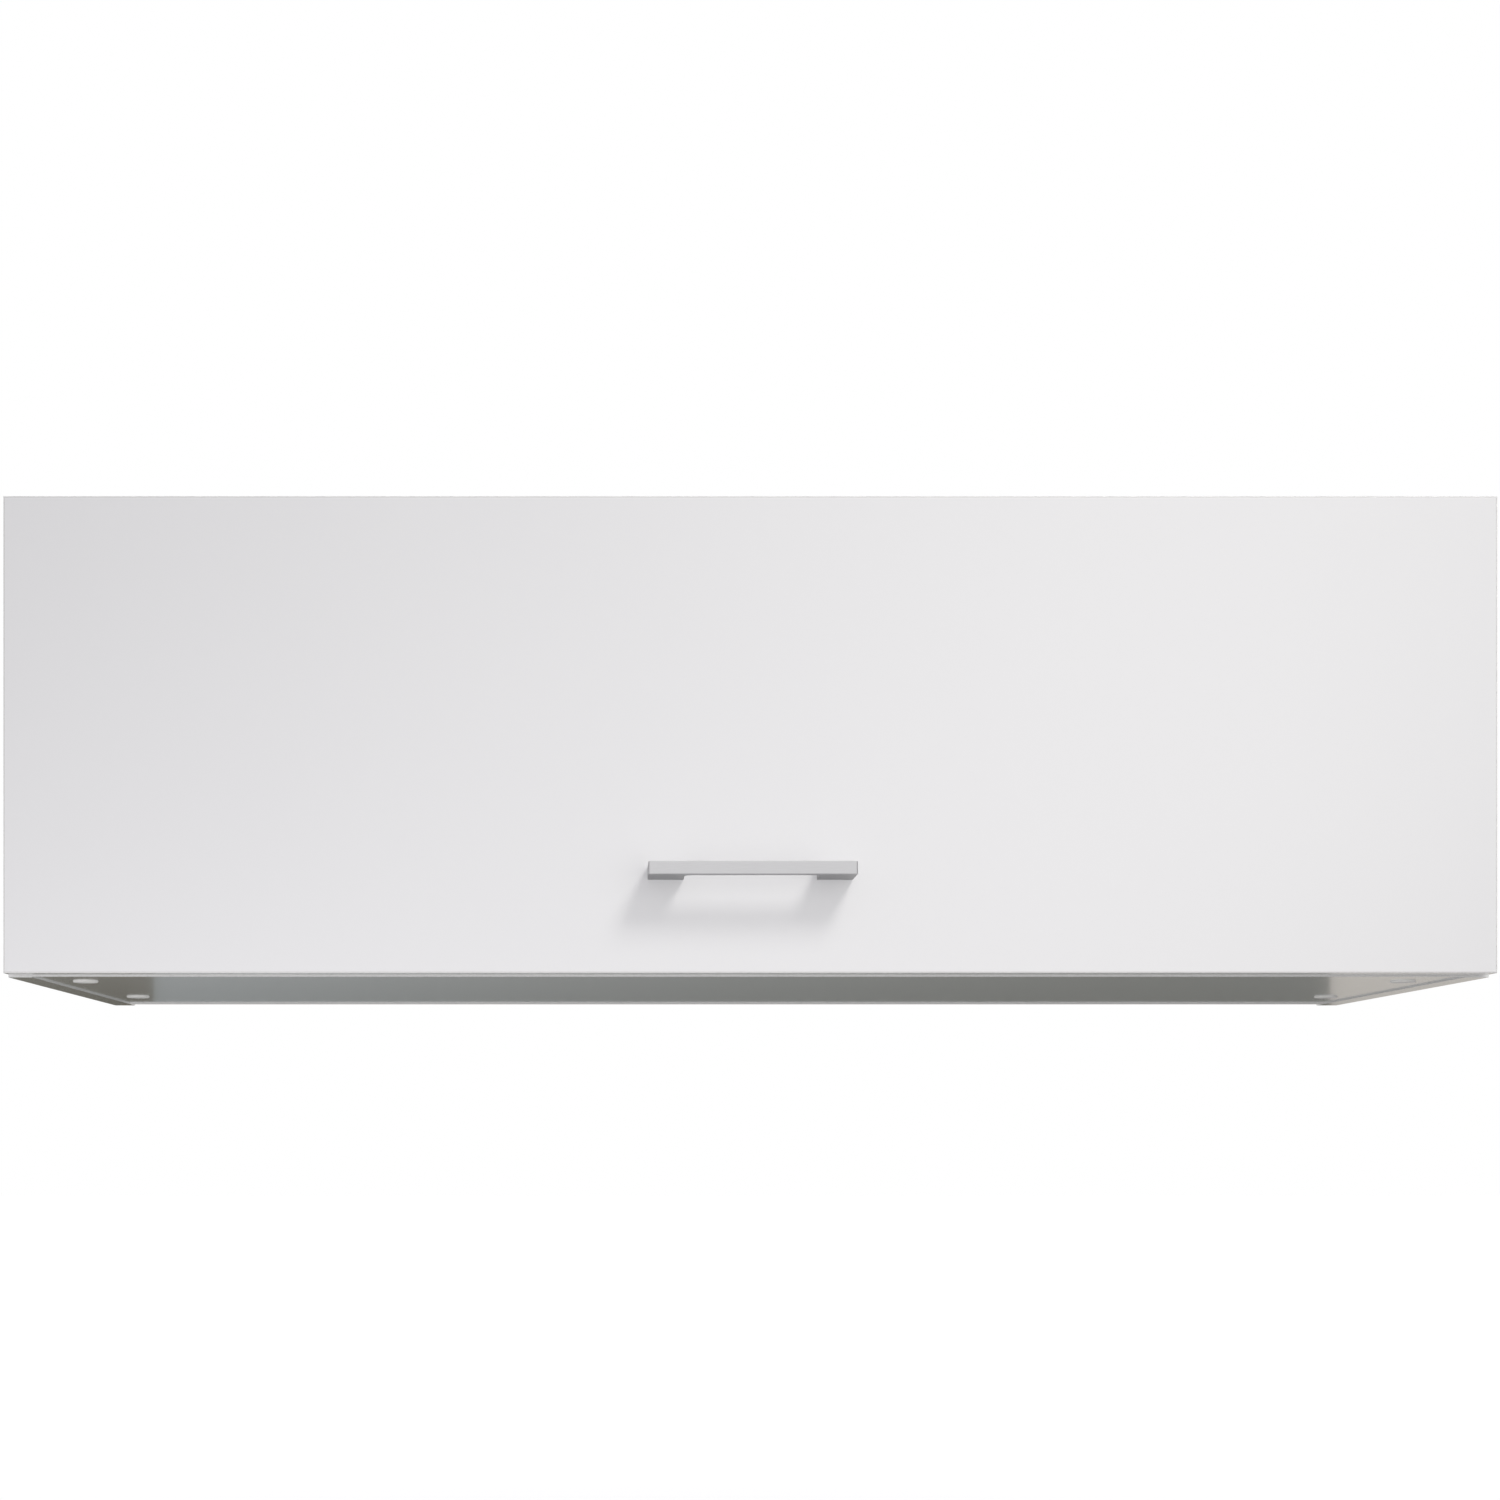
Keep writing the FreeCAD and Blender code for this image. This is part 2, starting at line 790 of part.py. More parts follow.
def hanger_screw_places():
    """The hanger's two adjusting screws: pull in at the hook, height below it."""
    pull_in = lip_top + hook_thk / 2
    return [pull_in, pull_in - hanger_screw_pitch]


def hanger_housing():
    """Tray in the top rear corner, open to the side board, with two pegs into it."""
    body = new_body("hanger_housing_right")
    nose = hanger_depth / 2
    outer = chain(
        (back_front, hanger_low),
        (back_front, hanger_top),
        (hanger_front, hanger_top),
        (hanger_front, hanger_low + nose),
        (hanger_front + nose, hanger_low),
    )
    add(body, "YZ", hanger_in, hanger_thk, outer)
    hollow = chain(
        (back_front, hanger_low + hanger_wall),
        (back_front, hanger_top - hanger_wall),
        (hanger_front + hanger_wall, hanger_top - hanger_wall),
        (hanger_front + hanger_wall, hanger_low + nose + hanger_wall),
        (hanger_front + nose + hanger_wall, hanger_low + hanger_wall),
    )
    cut(body, "YZ", hanger_in + hanger_wall, hanger_thk - hanger_wall, hollow)
    pegs = [disc(y, z, peg_dia) for y, z in peg_places()]
    peg_start = hanger_in + hanger_wall / 2
    add(body, "YZ", peg_start, hanger_thk - hanger_wall / 2 + peg_length, *pegs)
    bores = [disc(hanger_x, z, adjust_screw_dia + bore_play) for z in hanger_screw_places()]
    cut(body, "XZ", hanger_front + hanger_wall, hanger_wall, *bores)
    return body


def hanger_hook():
    """Steel hook: a block on the pull in screw, a bar through the back and a tooth behind the lip."""
    body = new_body("hanger_hook_right")
    tooth_rear = -wall_plate_step / 2 + hook_tooth / 2 + running_play
    tooth_front = tooth_rear - hook_tooth
    tooth_low = lip_top - hook_tooth_reach
    block_low = lip_top - hook_block_below
    block_top = hook_top + hook_block_above
    add(
        body,
        "YZ",
        hanger_x - hook_width / 2,
        hook_width,
        chain(
            (hook_block_front, block_low),
            (hook_block_rear, block_low),
            (hook_block_rear, lip_top),
            (tooth_front, lip_top),
            (tooth_front, tooth_low),
            (tooth_rear, tooth_low),
            (tooth_rear, hook_top),
            (hook_block_rear, hook_top),
            (hook_block_rear, block_top),
            (hook_block_front, block_top),
        ),
    )
    bore = disc(hanger_x, hanger_screw_places()[0], adjust_screw_dia + bore_play)
    cut(body, "XZ", hook_block_rear, hook_block_rear - hook_block_front, bore)
    return body


def hanger_screws():
    """The two adjusting screws of each hanger, driven from inside the cabinet."""
    length = hook_block_rear - hanger_front - bore_play
    master = adjust_screw("hanger_screw_master", length)
    places = [
        (master, REARWARD, (side * hanger_x, hanger_front, z))
        for side in SIDES
        for z in hanger_screw_places()
    ]
    return copies("hanger_screws", places)


def wall_plate():
    """Pressed plate on the wall: flat with two screw holes, its top edge stepped forward as a lip."""
    body = new_body("wall_plate_right")
    step = wall_plate_step
    thick = wall_plate_thk
    lip_low = lip_top - wall_plate_lip
    add(
        body,
        "YZ",
        inner - wall_plate_width,
        wall_plate_width,
        chain(
            (0, -wall_plate_low),
            (0, lip_low - step + wall_plate_fold),
            (-step, lip_low),
            (-step, lip_top),
            (-step - thick, lip_top),
            (-step - thick, lip_low - wall_plate_fold),
            (-thick, lip_low - step),
            (-thick, -wall_plate_low),
        ),
    )
    holes = [disc(wall_plate_x, side * wall_hole_pitch / 2, wall_hole_dia) for side in SIDES]
    cut(body, "XZ", 0, thick, *holes)
    corners = [(x, 0, -wall_plate_low) for x in (inner, inner - wall_plate_width)]
    round_edges(body, wall_plate_round, (Y, corners))
    return body


# ---------------------------------------------------------------- flap


def flap_panel():
    """Flap board with its hinge cup bores, and holes for the handle, hinges and lift brackets."""
    body = new_body("flap_panel")
    wide = flap_half - edging_thk
    add(
        body,
        "XZ",
        flap_back,
        flap_thk,
        rect(-wide, flap_low + edging_thk, wide, flap_high - edging_thk),
    )
    cups = [disc(side * hinge_x, cup_z, cup_dia + bore_play) for side in SIDES]
    cut(body, "XZ", flap_back, cup_depth + bore_play, *cups)
    handle_holes = [
        disc(side * handle_pitch / 2, handle_mid, handle_thread + 1) for side in SIDES
    ]
    cut(body, "XZ", flap_back, flap_thk, *handle_holes)
    screws = [disc(x, z, screw_dia + bore_play) for x, z in cup_screw_places()]
    screws += [disc(x, z, screw_dia + bore_play) for x, z in bracket_screw_places()]
    cut(body, "XZ", flap_back, screw_bite + bore_play, *screws)
    return body


def flap_edging():
    """Edge band all round the flap, its outer arrises rounded."""
    body = new_body("flap_edging")
    wide = flap_half - edging_thk
    outer = rect(-flap_half, flap_low, flap_half, flap_high)
    hollow = rect(-wide, flap_low + edging_thk, wide, flap_high - edging_thk)
    add(body, "XZ", flap_back, flap_thk, outer, hollow)
    level = [(0, y, z) for y in (flap_back, flap_front) for z in (flap_low, flap_high)]
    upright = [(x, y, 0) for y in (flap_back, flap_front) for x in (-flap_half, flap_half)]
    round_edges(body, edging_round, (X, level), (Z, upright))
    return body


def handle():
    """Flat bridge handle: a bar on two full height legs, rounded where bar and leg meet."""
    body = new_body("handle")
    outer = handle_length / 2
    leg = outer - handle_leg
    face = flap_front - handle_reach
    bar_back = face + handle_bar
    low = handle_mid - handle_high / 2
    add(
        body,
        "XY",
        low,
        handle_high,
        chain(
            (-outer, flap_front),
            (-outer, face),
            (outer, face),
            (outer, flap_front),
            (leg, flap_front),
            (leg, bar_back),
            (-leg, bar_back),
            (-leg, flap_front),
        ),
    )
    crooks = [(side * leg, bar_back, 0) for side in SIDES]
    round_edges(body, handle_crook, (Z, crooks))
    ends = [(side * outer, face, 0) for side in SIDES]
    round_edges(body, handle_end_round, (Z, ends))
    arrises = [(0, face, low), (0, face, low + handle_high)]
    round_edges(body, handle_arris, (X, arrises))
    threads = [
        disc(side * handle_pitch / 2, handle_mid, handle_thread + bore_play) for side in SIDES
    ]
    cut(body, "XZ", flap_front, handle_thread_depth, *threads)
    return body


def handle_screws():
    """Machine screws from behind the flap into the handle's legs."""
    master = pan_screw("handle_screw_master", handle_thread, flap_thk + handle_bite)
    places = [
        (master, FORWARD, (side * handle_pitch / 2, flap_back, handle_mid)) for side in SIDES
    ]
    return copies("handle_screws", places)


def flap_bumpers():
    """Clear domed bumpers that the flap closes on, in front of the side boards' edges."""
    radius = bumper_dia / 2
    thick = flap_gap - rest_gap
    master = turned(
        "bumper_master",
        (0, 0),
        (radius, 0),
        (radius, thick / 2),
        (bumper_crown / 2, thick),
        (0, thick),
    )
    places = [
        (master, REARWARD, (side * (half - panel_thk / 2), flap_back, flap_low + bumper_rise))
        for side in SIDES
    ]
    return copies("flap_bumpers", places)


# ---------------------------------------------------------------- single pivot cup hinges


def cup_screw_places():
    """Centres of the four screws of the hinge cups, as (x, z)."""
    return [
        (side * hinge_x + hand * flange_pitch / 2, cup_z - flange_offset)
        for side in SIDES
        for hand in SIDES
    ]


def plate_screw_places():
    """x of the four screws of the hinges' mounting plates."""
    return [side * hinge_x + hand * plate_pitch / 2 for side in SIDES for hand in SIDES]


def hinge_cup():
    """Cup sunk into the flap: rim, two screw wings, and two cheeks that hold the pivot pin."""
    body = new_body("hinge_cup_right")
    rim_y = flap_back + flange_thk
    add(body, "XZ", flap_back, cup_depth, disc(hinge_x, cup_z, cup_dia))
    add(body, "XZ", rim_y, flange_thk, disc(hinge_x, cup_z, cup_dia + 2 * flange_rim))
    wing_z = cup_z - flange_offset
    left = (hinge_x - flange_pitch / 2, wing_z)
    right = (hinge_x + flange_pitch / 2, wing_z)
    add(body, "XZ", rim_y, flange_thk, strap(left, right, screw_head, screw_head))
    hollow_depth = flange_thk + cup_depth - cup_wall
    cut(body, "XZ", rim_y, hollow_depth, disc(hinge_x, cup_z, cup_dia - 2 * cup_wall))
    gap = eye_width / 2 + cheek_play
    for start in (gap, -gap - cheek_thk):
        cheek = rect(
            hinge_x + start,
            axis_z - eye_dia,
            hinge_x + start + cheek_thk,
            axis_z + eye_dia / 2,
        )
        add(body, "XZ", rim_y, hollow_depth + cup_wall / 2, cheek)
    reach = gap + cheek_thk
    bore = disc(axis_y, axis_z, hinge_pin_dia + running_play)
    cut(body, "YZ", hinge_x - reach, reach * 2, bore)
    holes = [disc(x, wing_z, screw_dia + bore_play * 2) for x, _ in (left, right)]
    cut(body, "XZ", rim_y, flange_thk, *holes)
    return body


def hinge_arm():
    """Goose neck arm: an eye on the pin, a neck round the flap's edge and a channel on the plate."""
    body = new_body("hinge_arm_right")
    eye_radius = eye_dia / 2
    neck_rear = axis_y + eye_radius - neck_relief
    neck_front = axis_y - eye_radius
    root = channel_front + neck_land
    add(
        body,
        "YZ",
        hinge_x - eye_width / 2,
        eye_width,
        chain(
            (neck_rear, axis_z),
            (neck_front, axis_z),
            (neck_front, arm_low),
            (root, arm_low),
            (root, arm_top),
            (neck_rear, arm_top),
        ),
    )
    round_edges(body, hinge_arm_thk, (X, [(0, neck_front, arm_low)]))
    round_edges(body, elbow_inner, (X, [(0, neck_rear, arm_top)]))
    add(body, "YZ", hinge_x - eye_width / 2, eye_width, disc(axis_y, axis_z, eye_dia))
    walls_top = plate_under - channel_play
    add(
        body,
        "YZ",
        hinge_x - channel_half,
        channel_half * 2,
        rect(channel_front, arm_low, channel_rear, walls_top),
    )
    cut(
        body,
        "YZ",
        hinge_x - eye_width / 2,
        eye_width,
        rect(root, web_top, channel_rear, walls_top),
    )
    pin_bore = disc(axis_y, axis_z, hinge_pin_dia + running_play)
    cut(body, "YZ", hinge_x - eye_width / 2, eye_width, pin_bore)
    cut(body, "XY", arm_low, channel_web, disc(hinge_x, arm_screw_y, adjust_screw_dia + bore_play))
    return body


def hinge_plate():
    """Mounting plate under the top board: two screw wings and a block that the arm sits on."""
    body = new_body("hinge_plate_right")
    wings = [(hinge_x - plate_pitch / 2, plate_y), (hinge_x + plate_pitch / 2, plate_y)]
    add(body, "XY", plate_under, plate_base, strap(wings[0], wings[1], screw_head, screw_head))
    block_half = eye_width / 2 - bore_play
    block = rect(
        hinge_x - block_half,
        channel_front + block_ahead,
        hinge_x + block_half,
        channel_rear - block_behind,
    )
    add(body, "XY", web_top, under_top - web_top, block)
    holes = [disc(x, y, screw_dia + bore_play * 2) for x, y in wings]
    cut(body, "XY", plate_under, plate_base, *holes)
    thread = disc(hinge_x, arm_screw_y, adjust_screw_dia + bore_play)
    cut(body, "XY", web_top, plate_under - web_top, thread)
    return body


def hinge_pins():
    """Pivot pins, held in the cheeks of the cups."""
    reach = eye_width / 2 + cheek_play + cheek_thk
    radius = hinge_pin_dia / 2
    master = turned("hinge_pin_master", (0, -reach), (radius, -reach), (radius, reach), (0, reach))
    places = [(master, OUTWARD[1], (side * hinge_x, axis_y, axis_z)) for side in SIDES]
    return copies("hinge_pins", places)


def hinge_cup_screws():
    master = pan_screw("cup_screw_master", screw_dia, screw_bite + flange_thk)
    places = [
        (master, FORWARD, (x, flap_back + flange_thk, z)) for x, z in cup_screw_places()
    ]
    return copies("hinge_cup_screws", places)


def hinge_plate_screws():
    master = pan_screw("plate_screw_master", screw_dia, screw_bite + plate_base)
    places = [(master, UPRIGHT, (x, plate_y, plate_under)) for x in plate_screw_places()]
    return copies("hinge_plate_screws", places)


def hinge_arm_screws():
    master = adjust_screw("arm_screw_master", plate_under - arm_low - bore_play)
    places = [(master, UPRIGHT, (side * hinge_x, arm_screw_y, arm_low)) for side in SIDES]
    return copies("hinge_arm_screws", places)


# ---------------------------------------------------------------- spring lifts


def housing_outline():
    """Outline of housing and cover on the side board, with its two lower corners cut off."""
    return chain(
        (housing_front, housing_top),
        (housing_front, housing_low + housing_cut),
        (housing_front + housing_cut, housing_low),
        (housing_rear - housing_cut, housing_low),
        (housing_rear, housing_low + housing_cut),
        (housing_rear, housing_top),
    )


def housing_corners():
    return [(0, housing_front, housing_top), (0, housing_rear, housing_top)]


def housing_screw_places():
    """Centres of the two screws that hold a housing on its side board, as (y, z)."""
    return [
        (housing_front + housing_screw_edge, housing_top - housing_screw_edge),
        (housing_rear - housing_cut, housing_low + housing_screw_edge),
    ]


def lift_housing():
    """Spring housing: closed round the springs, open for the lever's pin and its own screws."""
    body = new_body("lift_housing_right")
    add(body, "YZ", housing_x, housing_thk, housing_outline())
    round_edges(body, housing_round, (X, housing_corners()))
    pin = disc(lever_y, lever_z, lever_pin_dia + running_play)
    cut(body, "YZ", housing_x, pin_grip + bore_play, pin)
    places = housing_screw_places()
    holes = [disc(y, z, housing_screw_dia + bore_play) for y, z in places]
    cut(body, "YZ", housing_x, housing_thk, *holes)
    sinks = [disc(y, z, housing_screw_head + bore_play) for y, z in places]
    cut(body, "YZ", housing_x, housing_screw_head_thk + running_play, *sinks)
    return body


def lift_cover():
    """Cover over the housing and its screws, bevelled all round, with a hole for the lever's pin."""
    body = new_body("lift_cover_right")
    add(body, "YZ", cover_x, cover_thk, housing_outline())
    round_edges(body, housing_round, (X, housing_corners()))
    bevel_face(body, cover_x, cover_bevel)
    cut(body, "YZ", cover_x, cover_thk, disc(lever_y, lever_z, lever_pin_dia + bore_play * 2))
    return body


def lift_lever():
    """Lever from the housing's pin down to the link."""
    body = new_body("lift_lever_right")
    pivot = (lever_y, lever_z)
    knee = (knee_y, knee_z)
    pivot_eye = lever_pin_dia / 2 + pivot_eye_wall
    knee_eye = link_pin_dia / 2 + knee_eye_wall
    add(body, "YZ", lever_in, lever_thk, strap(pivot, knee, pivot_eye, knee_eye))
    bores = [
        disc(lever_y, lever_z, lever_pin_dia + running_play),
        disc(knee_y, knee_z, link_pin_dia + running_play),
    ]
    cut(body, "YZ", lever_in, lever_thk, *bores)
    return body


def lift_link():
    """Link from the lever to the flap's bracket; its front eye is the loop's open pivot."""
    body = new_body("lift_link_right")
    knee = (knee_y, knee_z)
    front_eye = (bracket_y, bracket_z)
    add(body, "YZ", link_in, link_thk, strap(knee, front_eye, link_eye, link_eye))
    bores = [
        disc(knee_y, knee_z, link_pin_dia + running_play),
        disc(bracket_y, bracket_z, link_pin_dia + open_play),
    ]
    cut(body, "YZ", link_in, link_thk, *bores)
    return body


def lift_bracket():
    """Folded bracket on the back of the flap: a screwed base and an ear with the link's pin."""
    body = new_body("lift_bracket_right")
    base_y = flap_back + bracket_base
    base = rect(
        lever_in,
        bracket_z - bracket_high / 2,
        lever_in + bracket_base_width(),
        bracket_z + bracket_high / 2,
    )
    add(body, "XZ", base_y, bracket_base, base)
    ear = chain(
        (flap_back, bracket_z - ear_root),
        (flap_back, bracket_z + ear_root),
        (bracket_y, bracket_z + link_eye),
        (bracket_y, bracket_z - link_eye),
    )
    add(body, "YZ", lever_in, lever_thk, ear)
    add(body, "YZ", lever_in, lever_thk, disc(bracket_y, bracket_z, link_eye * 2))
    pin_bore = disc(bracket_y, bracket_z, link_pin_dia + running_play)
    cut(body, "YZ", lever_in, lever_thk, pin_bore)
    column = bracket_screw_column()
    holes = [
        disc(column, z, screw_dia + bore_play * 2) for z in bracket_screw_heights()
    ]
    cut(body, "XZ", base_y, bracket_base, *holes)
    return body


def bracket_base_width():
    return lever_thk + screw_head * 2


def bracket_screw_column():
    """x of the right hand bracket's screws, beside its ear."""
    return lever_out + screw_head


def bracket_screw_heights():
    return [bracket_z + side * (bracket_high / 2 - screw_head) for side in SIDES]


def bracket_screw_places():
    """Centres of the four bracket screws, as (x, z)."""
    return [
        (side * bracket_screw_column(), z) for side in SIDES for z in bracket_screw_heights()
    ]


def bracket_screws():
    master = pan_screw("bracket_screw_master", screw_dia, screw_bite + bracket_base)
    places = [
        (master, FORWARD, (x, flap_back + bracket_base, z)) for x, z in bracket_screw_places()
    ]
    return copies("bracket_screws", places)


def housing_screws():
    """Flat head screws under the covers, through the housings into the side boards."""
    length = housing_thk - housing_screw_head_thk - running_play + screw_bite
    master = pan_screw(
        "housing_screw_master",
        housing_screw_dia,
        length,
        housing_screw_head,
        housing_screw_head_thk,
    )
    seat = housing_x + housing_screw_head_thk + running_play
    places = [
        (master, OUTWARD[side], (side * seat, y, z))
        for side in SIDES
        for y, z in housing_screw_places()
    ]
    return copies("housing_screws", places)


def pivot_rivet(name, diameter, length):
    """A pin along +Z with a head at its far end, outside the last plate that it holds."""
    radius = diameter / 2
    head = radius + rivet_rim
    return turned(
        name,
        (0, 0),
        (radius, 0),
        (radius, length),
        (head, length),
        (head - rivet_bevel, length + rivet_head),
        (0, length + rivet_head),
    )


def lever_pins():
    """The levers' pins, from inside the housings to a head inboard of the levers."""
    length = pin_grip + cover_thk + layer_gap + lever_thk + rest_gap
    master = pivot_rivet("lever_pin_master", lever_pin_dia, length)
    places = [
        (master, INWARD[side], (side * (housing_x + pin_grip), lever_y, lever_z)) for side in SIDES
    ]
    return copies("lever_pins", places)


def link_pin_master():
    length = lever_thk + layer_gap + link_thk + rest_gap
    return pivot_rivet("link_pin_master", link_pin_dia, length)


def knee_pin(name, side):
    """The pin that joins one lever and its link."""
    return copies(name, [(link_pin, INWARD[side], (side * lever_out, knee_y, knee_z))])


def bracket_pins():
    """The pins of both brackets, which carry the links' front eyes."""
    places = [
        (link_pin, INWARD[side], (side * lever_out, bracket_y, bracket_z)) for side in SIDES
    ]
    return copies("bracket_pins", places)


# ---------------------------------------------------------------- the cabinet
keep_pair(side_panel())
keep(top_panel(), bottom_panel(), carcass_edging(), back_panel())

cam_master = cam()
keep(cams("cams_top", top, True), cams("cams_bottom", floor_low, False))
keep(cam_bolts(), dowels(), cam_cover_caps(), back_screws())

keep_pair(hanger_housing())
keep_pair(hanger_hook())
keep_pair(wall_plate())
keep(hanger_screws())

keep(flap_panel(), flap_edging(), handle(), handle_screws(), flap_bumpers())

keep_pair(hinge_cup())
keep_pair(hinge_arm())
keep_pair(hinge_plate())
keep(hinge_pins(), hinge_cup_screws(), hinge_plate_screws(), hinge_arm_screws())

keep_pair(lift_housing())
keep_pair(lift_cover())
keep_pair(lift_lever())
keep_pair(lift_link())
keep_pair(lift_bracket())
link_pin = link_pin_master()
keep(knee_pin("knee_pin_right", 1), knee_pin("knee_pin_left", -1))
keep(lever_pins(), bracket_pins(), bracket_screws(), housing_screws())

doc.recompute()

# ---------------------------------------------------------------- checks and files
for item in doc.Objects:
    if "Invalid" in item.State or "Error" in item.State:
        raise RuntimeError(f"{item.Label} failed: {item.State}")
    if item.TypeId == "PartDesign::Pocket":
        before = item.BaseFeature.Shape.Volume
        if item.Shape.Volume > before - 0.01:
            raise RuntimeError(f"{item.Label} cuts nothing")

for node in nodes:
    if node.Shape.isNull() or not node.Shape.isValid():
        raise RuntimeError(f"{node.Label} has no valid shape")

os.makedirs("parts", exist_ok=True)
for node in nodes:
    node.Shape.exportStep(f"parts/{node.Label}.step")

print(f"{len(nodes)} nodes")
for label, y, z in (
    ("flap axis", axis_y, axis_z),
    ("lever pivot", lever_y, lever_z),
    ("knee", knee_y, knee_z),
    ("bracket pin", bracket_y, bracket_z),
):
    print(f"{label}: y {y.number:.3f}, z {z.number:.3f}")
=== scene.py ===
# %% [markdown]
# # A white wall cabinet with a lift up flap
#
# The construction comes from a finished CAD model: boards, hinges, spring lifts, hangers and screws,
# each piece at its real size. This lesson dresses that model. It gives every piece its finish, swaps
# the plain screws for ones with a thread and a driver recess, swaps the plain dowels for fluted ones,
# and stands the cabinet in a studio.

# %% Load the frame
import json
import math

import bpy
import numpy as np
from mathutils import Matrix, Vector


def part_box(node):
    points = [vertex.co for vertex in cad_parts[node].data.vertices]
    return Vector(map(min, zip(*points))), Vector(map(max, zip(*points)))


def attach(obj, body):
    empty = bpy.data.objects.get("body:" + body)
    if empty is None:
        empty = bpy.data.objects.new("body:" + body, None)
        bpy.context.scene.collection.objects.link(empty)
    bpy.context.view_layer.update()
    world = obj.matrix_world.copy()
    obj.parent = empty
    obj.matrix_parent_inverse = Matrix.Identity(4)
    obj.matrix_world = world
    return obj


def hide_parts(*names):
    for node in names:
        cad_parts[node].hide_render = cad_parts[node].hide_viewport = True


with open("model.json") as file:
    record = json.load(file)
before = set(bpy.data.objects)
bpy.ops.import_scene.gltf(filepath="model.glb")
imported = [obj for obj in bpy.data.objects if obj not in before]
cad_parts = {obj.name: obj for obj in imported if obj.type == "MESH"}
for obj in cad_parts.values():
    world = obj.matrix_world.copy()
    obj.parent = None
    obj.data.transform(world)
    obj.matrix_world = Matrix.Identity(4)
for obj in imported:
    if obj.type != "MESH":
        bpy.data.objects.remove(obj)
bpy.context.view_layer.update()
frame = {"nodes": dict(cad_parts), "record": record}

nodes = frame["nodes"]
subparts = frame["record"]["subparts"]
body_of = {node: body for body, held in frame["record"]["behaviour"]["bodies"].items() for node in held}
slot_of = {part["node"]: part["material_slot"] for part in subparts}

# %% [markdown]
# ## The places that later steps need
#
# A number that the CAD model already holds should be read from it, because then a finish still fits
# when the model changes.

# %% Read the main planes from the frame
MM = 0.001

flap_low, flap_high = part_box("flap_edging")
_, side_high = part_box("side_panel_right")
back_low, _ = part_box("back_panel")
edging_low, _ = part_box("carcass_edging")
flap_middle = (flap_low + flap_high) / 2
print(f"flap face y {flap_low.y:.4f}, carcass y {edging_low.y:.4f} to {side_high.y:.4f}")

# %% [markdown]
# ## Writing shader maths as Python
#
# A material is a small formula over the surface: a place goes in, a colour or a roughness comes out.
# Nodes placed one by one hide that formula. A thin wrapper round a socket keeps it readable, because
# plus, minus and times then add the Math nodes, and one method adds any other node.

# %% A socket that can be used in a formula
class Wire:
    """One output socket of a node tree."""

    def __init__(self, tree, socket=None):
        self.tree = tree
        self.socket = socket

    def node(self, kind, settings=None, inputs=None, output=0):
        """Add a node: its settings first, then the values or links of its sockets."""
        made = self.tree.nodes.new(f"ShaderNode{kind}")
        for name, setting in (settings or {}).items():
            if name == "stops":
                set_stops(made.color_ramp.elements, setting)
            else:
                setattr(made, name, setting)
        for key, value in (inputs or {}).items():
            if isinstance(value, Wire):
                self.tree.links.new(value.socket, made.inputs[key])
            else:
                made.inputs[key].default_value = value
        return Wire(self.tree, made.outputs[output])

    def math(self, operation, first, second=0.0):
        return self.node("Math", {"operation": operation}, {0: first, 1: second})

    def __add__(self, other):
        return self.math("ADD", self, other)

    def __sub__(self, other):
        return self.math("SUBTRACT", self, other)

    def __rsub__(self, other):
        return self.math("SUBTRACT", other, self)

    def __mul__(self, other):
        return self.math("MULTIPLY", self, other)

    def __gt__(self, other):
        return self.math("GREATER_THAN", self, other)

    def __abs__(self):
        return self.math("ABSOLUTE", self)

    __radd__ = __add__
    __rmul__ = __mul__

    def larger(self, other):
        return self.math("MAXIMUM", self, other)

    def sine(self):
        return self.math("SINE", self)

    def axes(self):
        """The three parts of a place."""
        parts = self.node("SeparateXYZ", inputs={0: self}).socket.node.outputs
        return [Wire(self.tree, part) for part in parts]

    def blend(self, first, second):
        """A colour between two, with this socket as the share of the second."""
        return self.node("Mix", {"data_type": "RGBA"}, {0: self, 6: first, 7: second}, output=2)

    def span(self, low, high, start=0.0, end=1.0):
        """This socket carried from low..high to start..end, and held at both ends."""
        return self.node("MapRange", inputs={0: self, 1: low, 2: high, 3: start, 4: end})

    def stretched(self, scale):
        """This place with its three axes scaled."""
        return self.node("Mapping", inputs={"Vector": self, "Scale": scale})

    def noise(self, cells, detail=2.0, rough=0.5):
        """Soft noise over this place, with so many cells to the metre."""
        inputs = {"Vector": self, "Scale": cells, "Detail": detail, "Roughness": rough}
        return self.node("TexNoise", inputs=inputs)

    def chips(self, cells):
        """A random number for each of the cells that this place is broken into."""
        color = self.node("TexVoronoi", inputs={"Vector": self, "Scale": cells}, output=1)
        return color.node("SeparateColor", inputs={0: color})

    def ramp(self, *stops):
        """A colour from a ramp, stops being pairs of a place and a colour."""
        return self.node("ValToRGB", {"stops": stops}, {0: self})

    def bump(self, depth):
        """A normal from this height, which is 1 at depth metres."""
        return self.node("Bump", inputs={"Height": self, "Distance": depth, "Strength": 1.0})


def set_stops(elements, stops):
    """Give a colour ramp these pairs of a place and a colour."""
    while len(elements) < len(stops):
        elements.new(1.0)
    for element, (place, color) in zip(elements, stops):
        element.position = place
        element.color = color


print("shader maths ready")

# %% [markdown]
# ## A material from a name and a formula
#
# Every finish starts the same way: a Principled shader, and the place on the piece in metres. Object
# coordinates are right here, because each piece's mesh already lies at its true place.

# %% The start and the end of a finish
materials = {}


def start_finish(slot):
    """A new material for a slot, and the place on the surface as a Wire."""
    materials[slot] = bpy.data.materials.new(slot)
    materials[slot].use_nodes = True
    return Wire(materials[slot].node_tree).node("TexCoord", output=3)


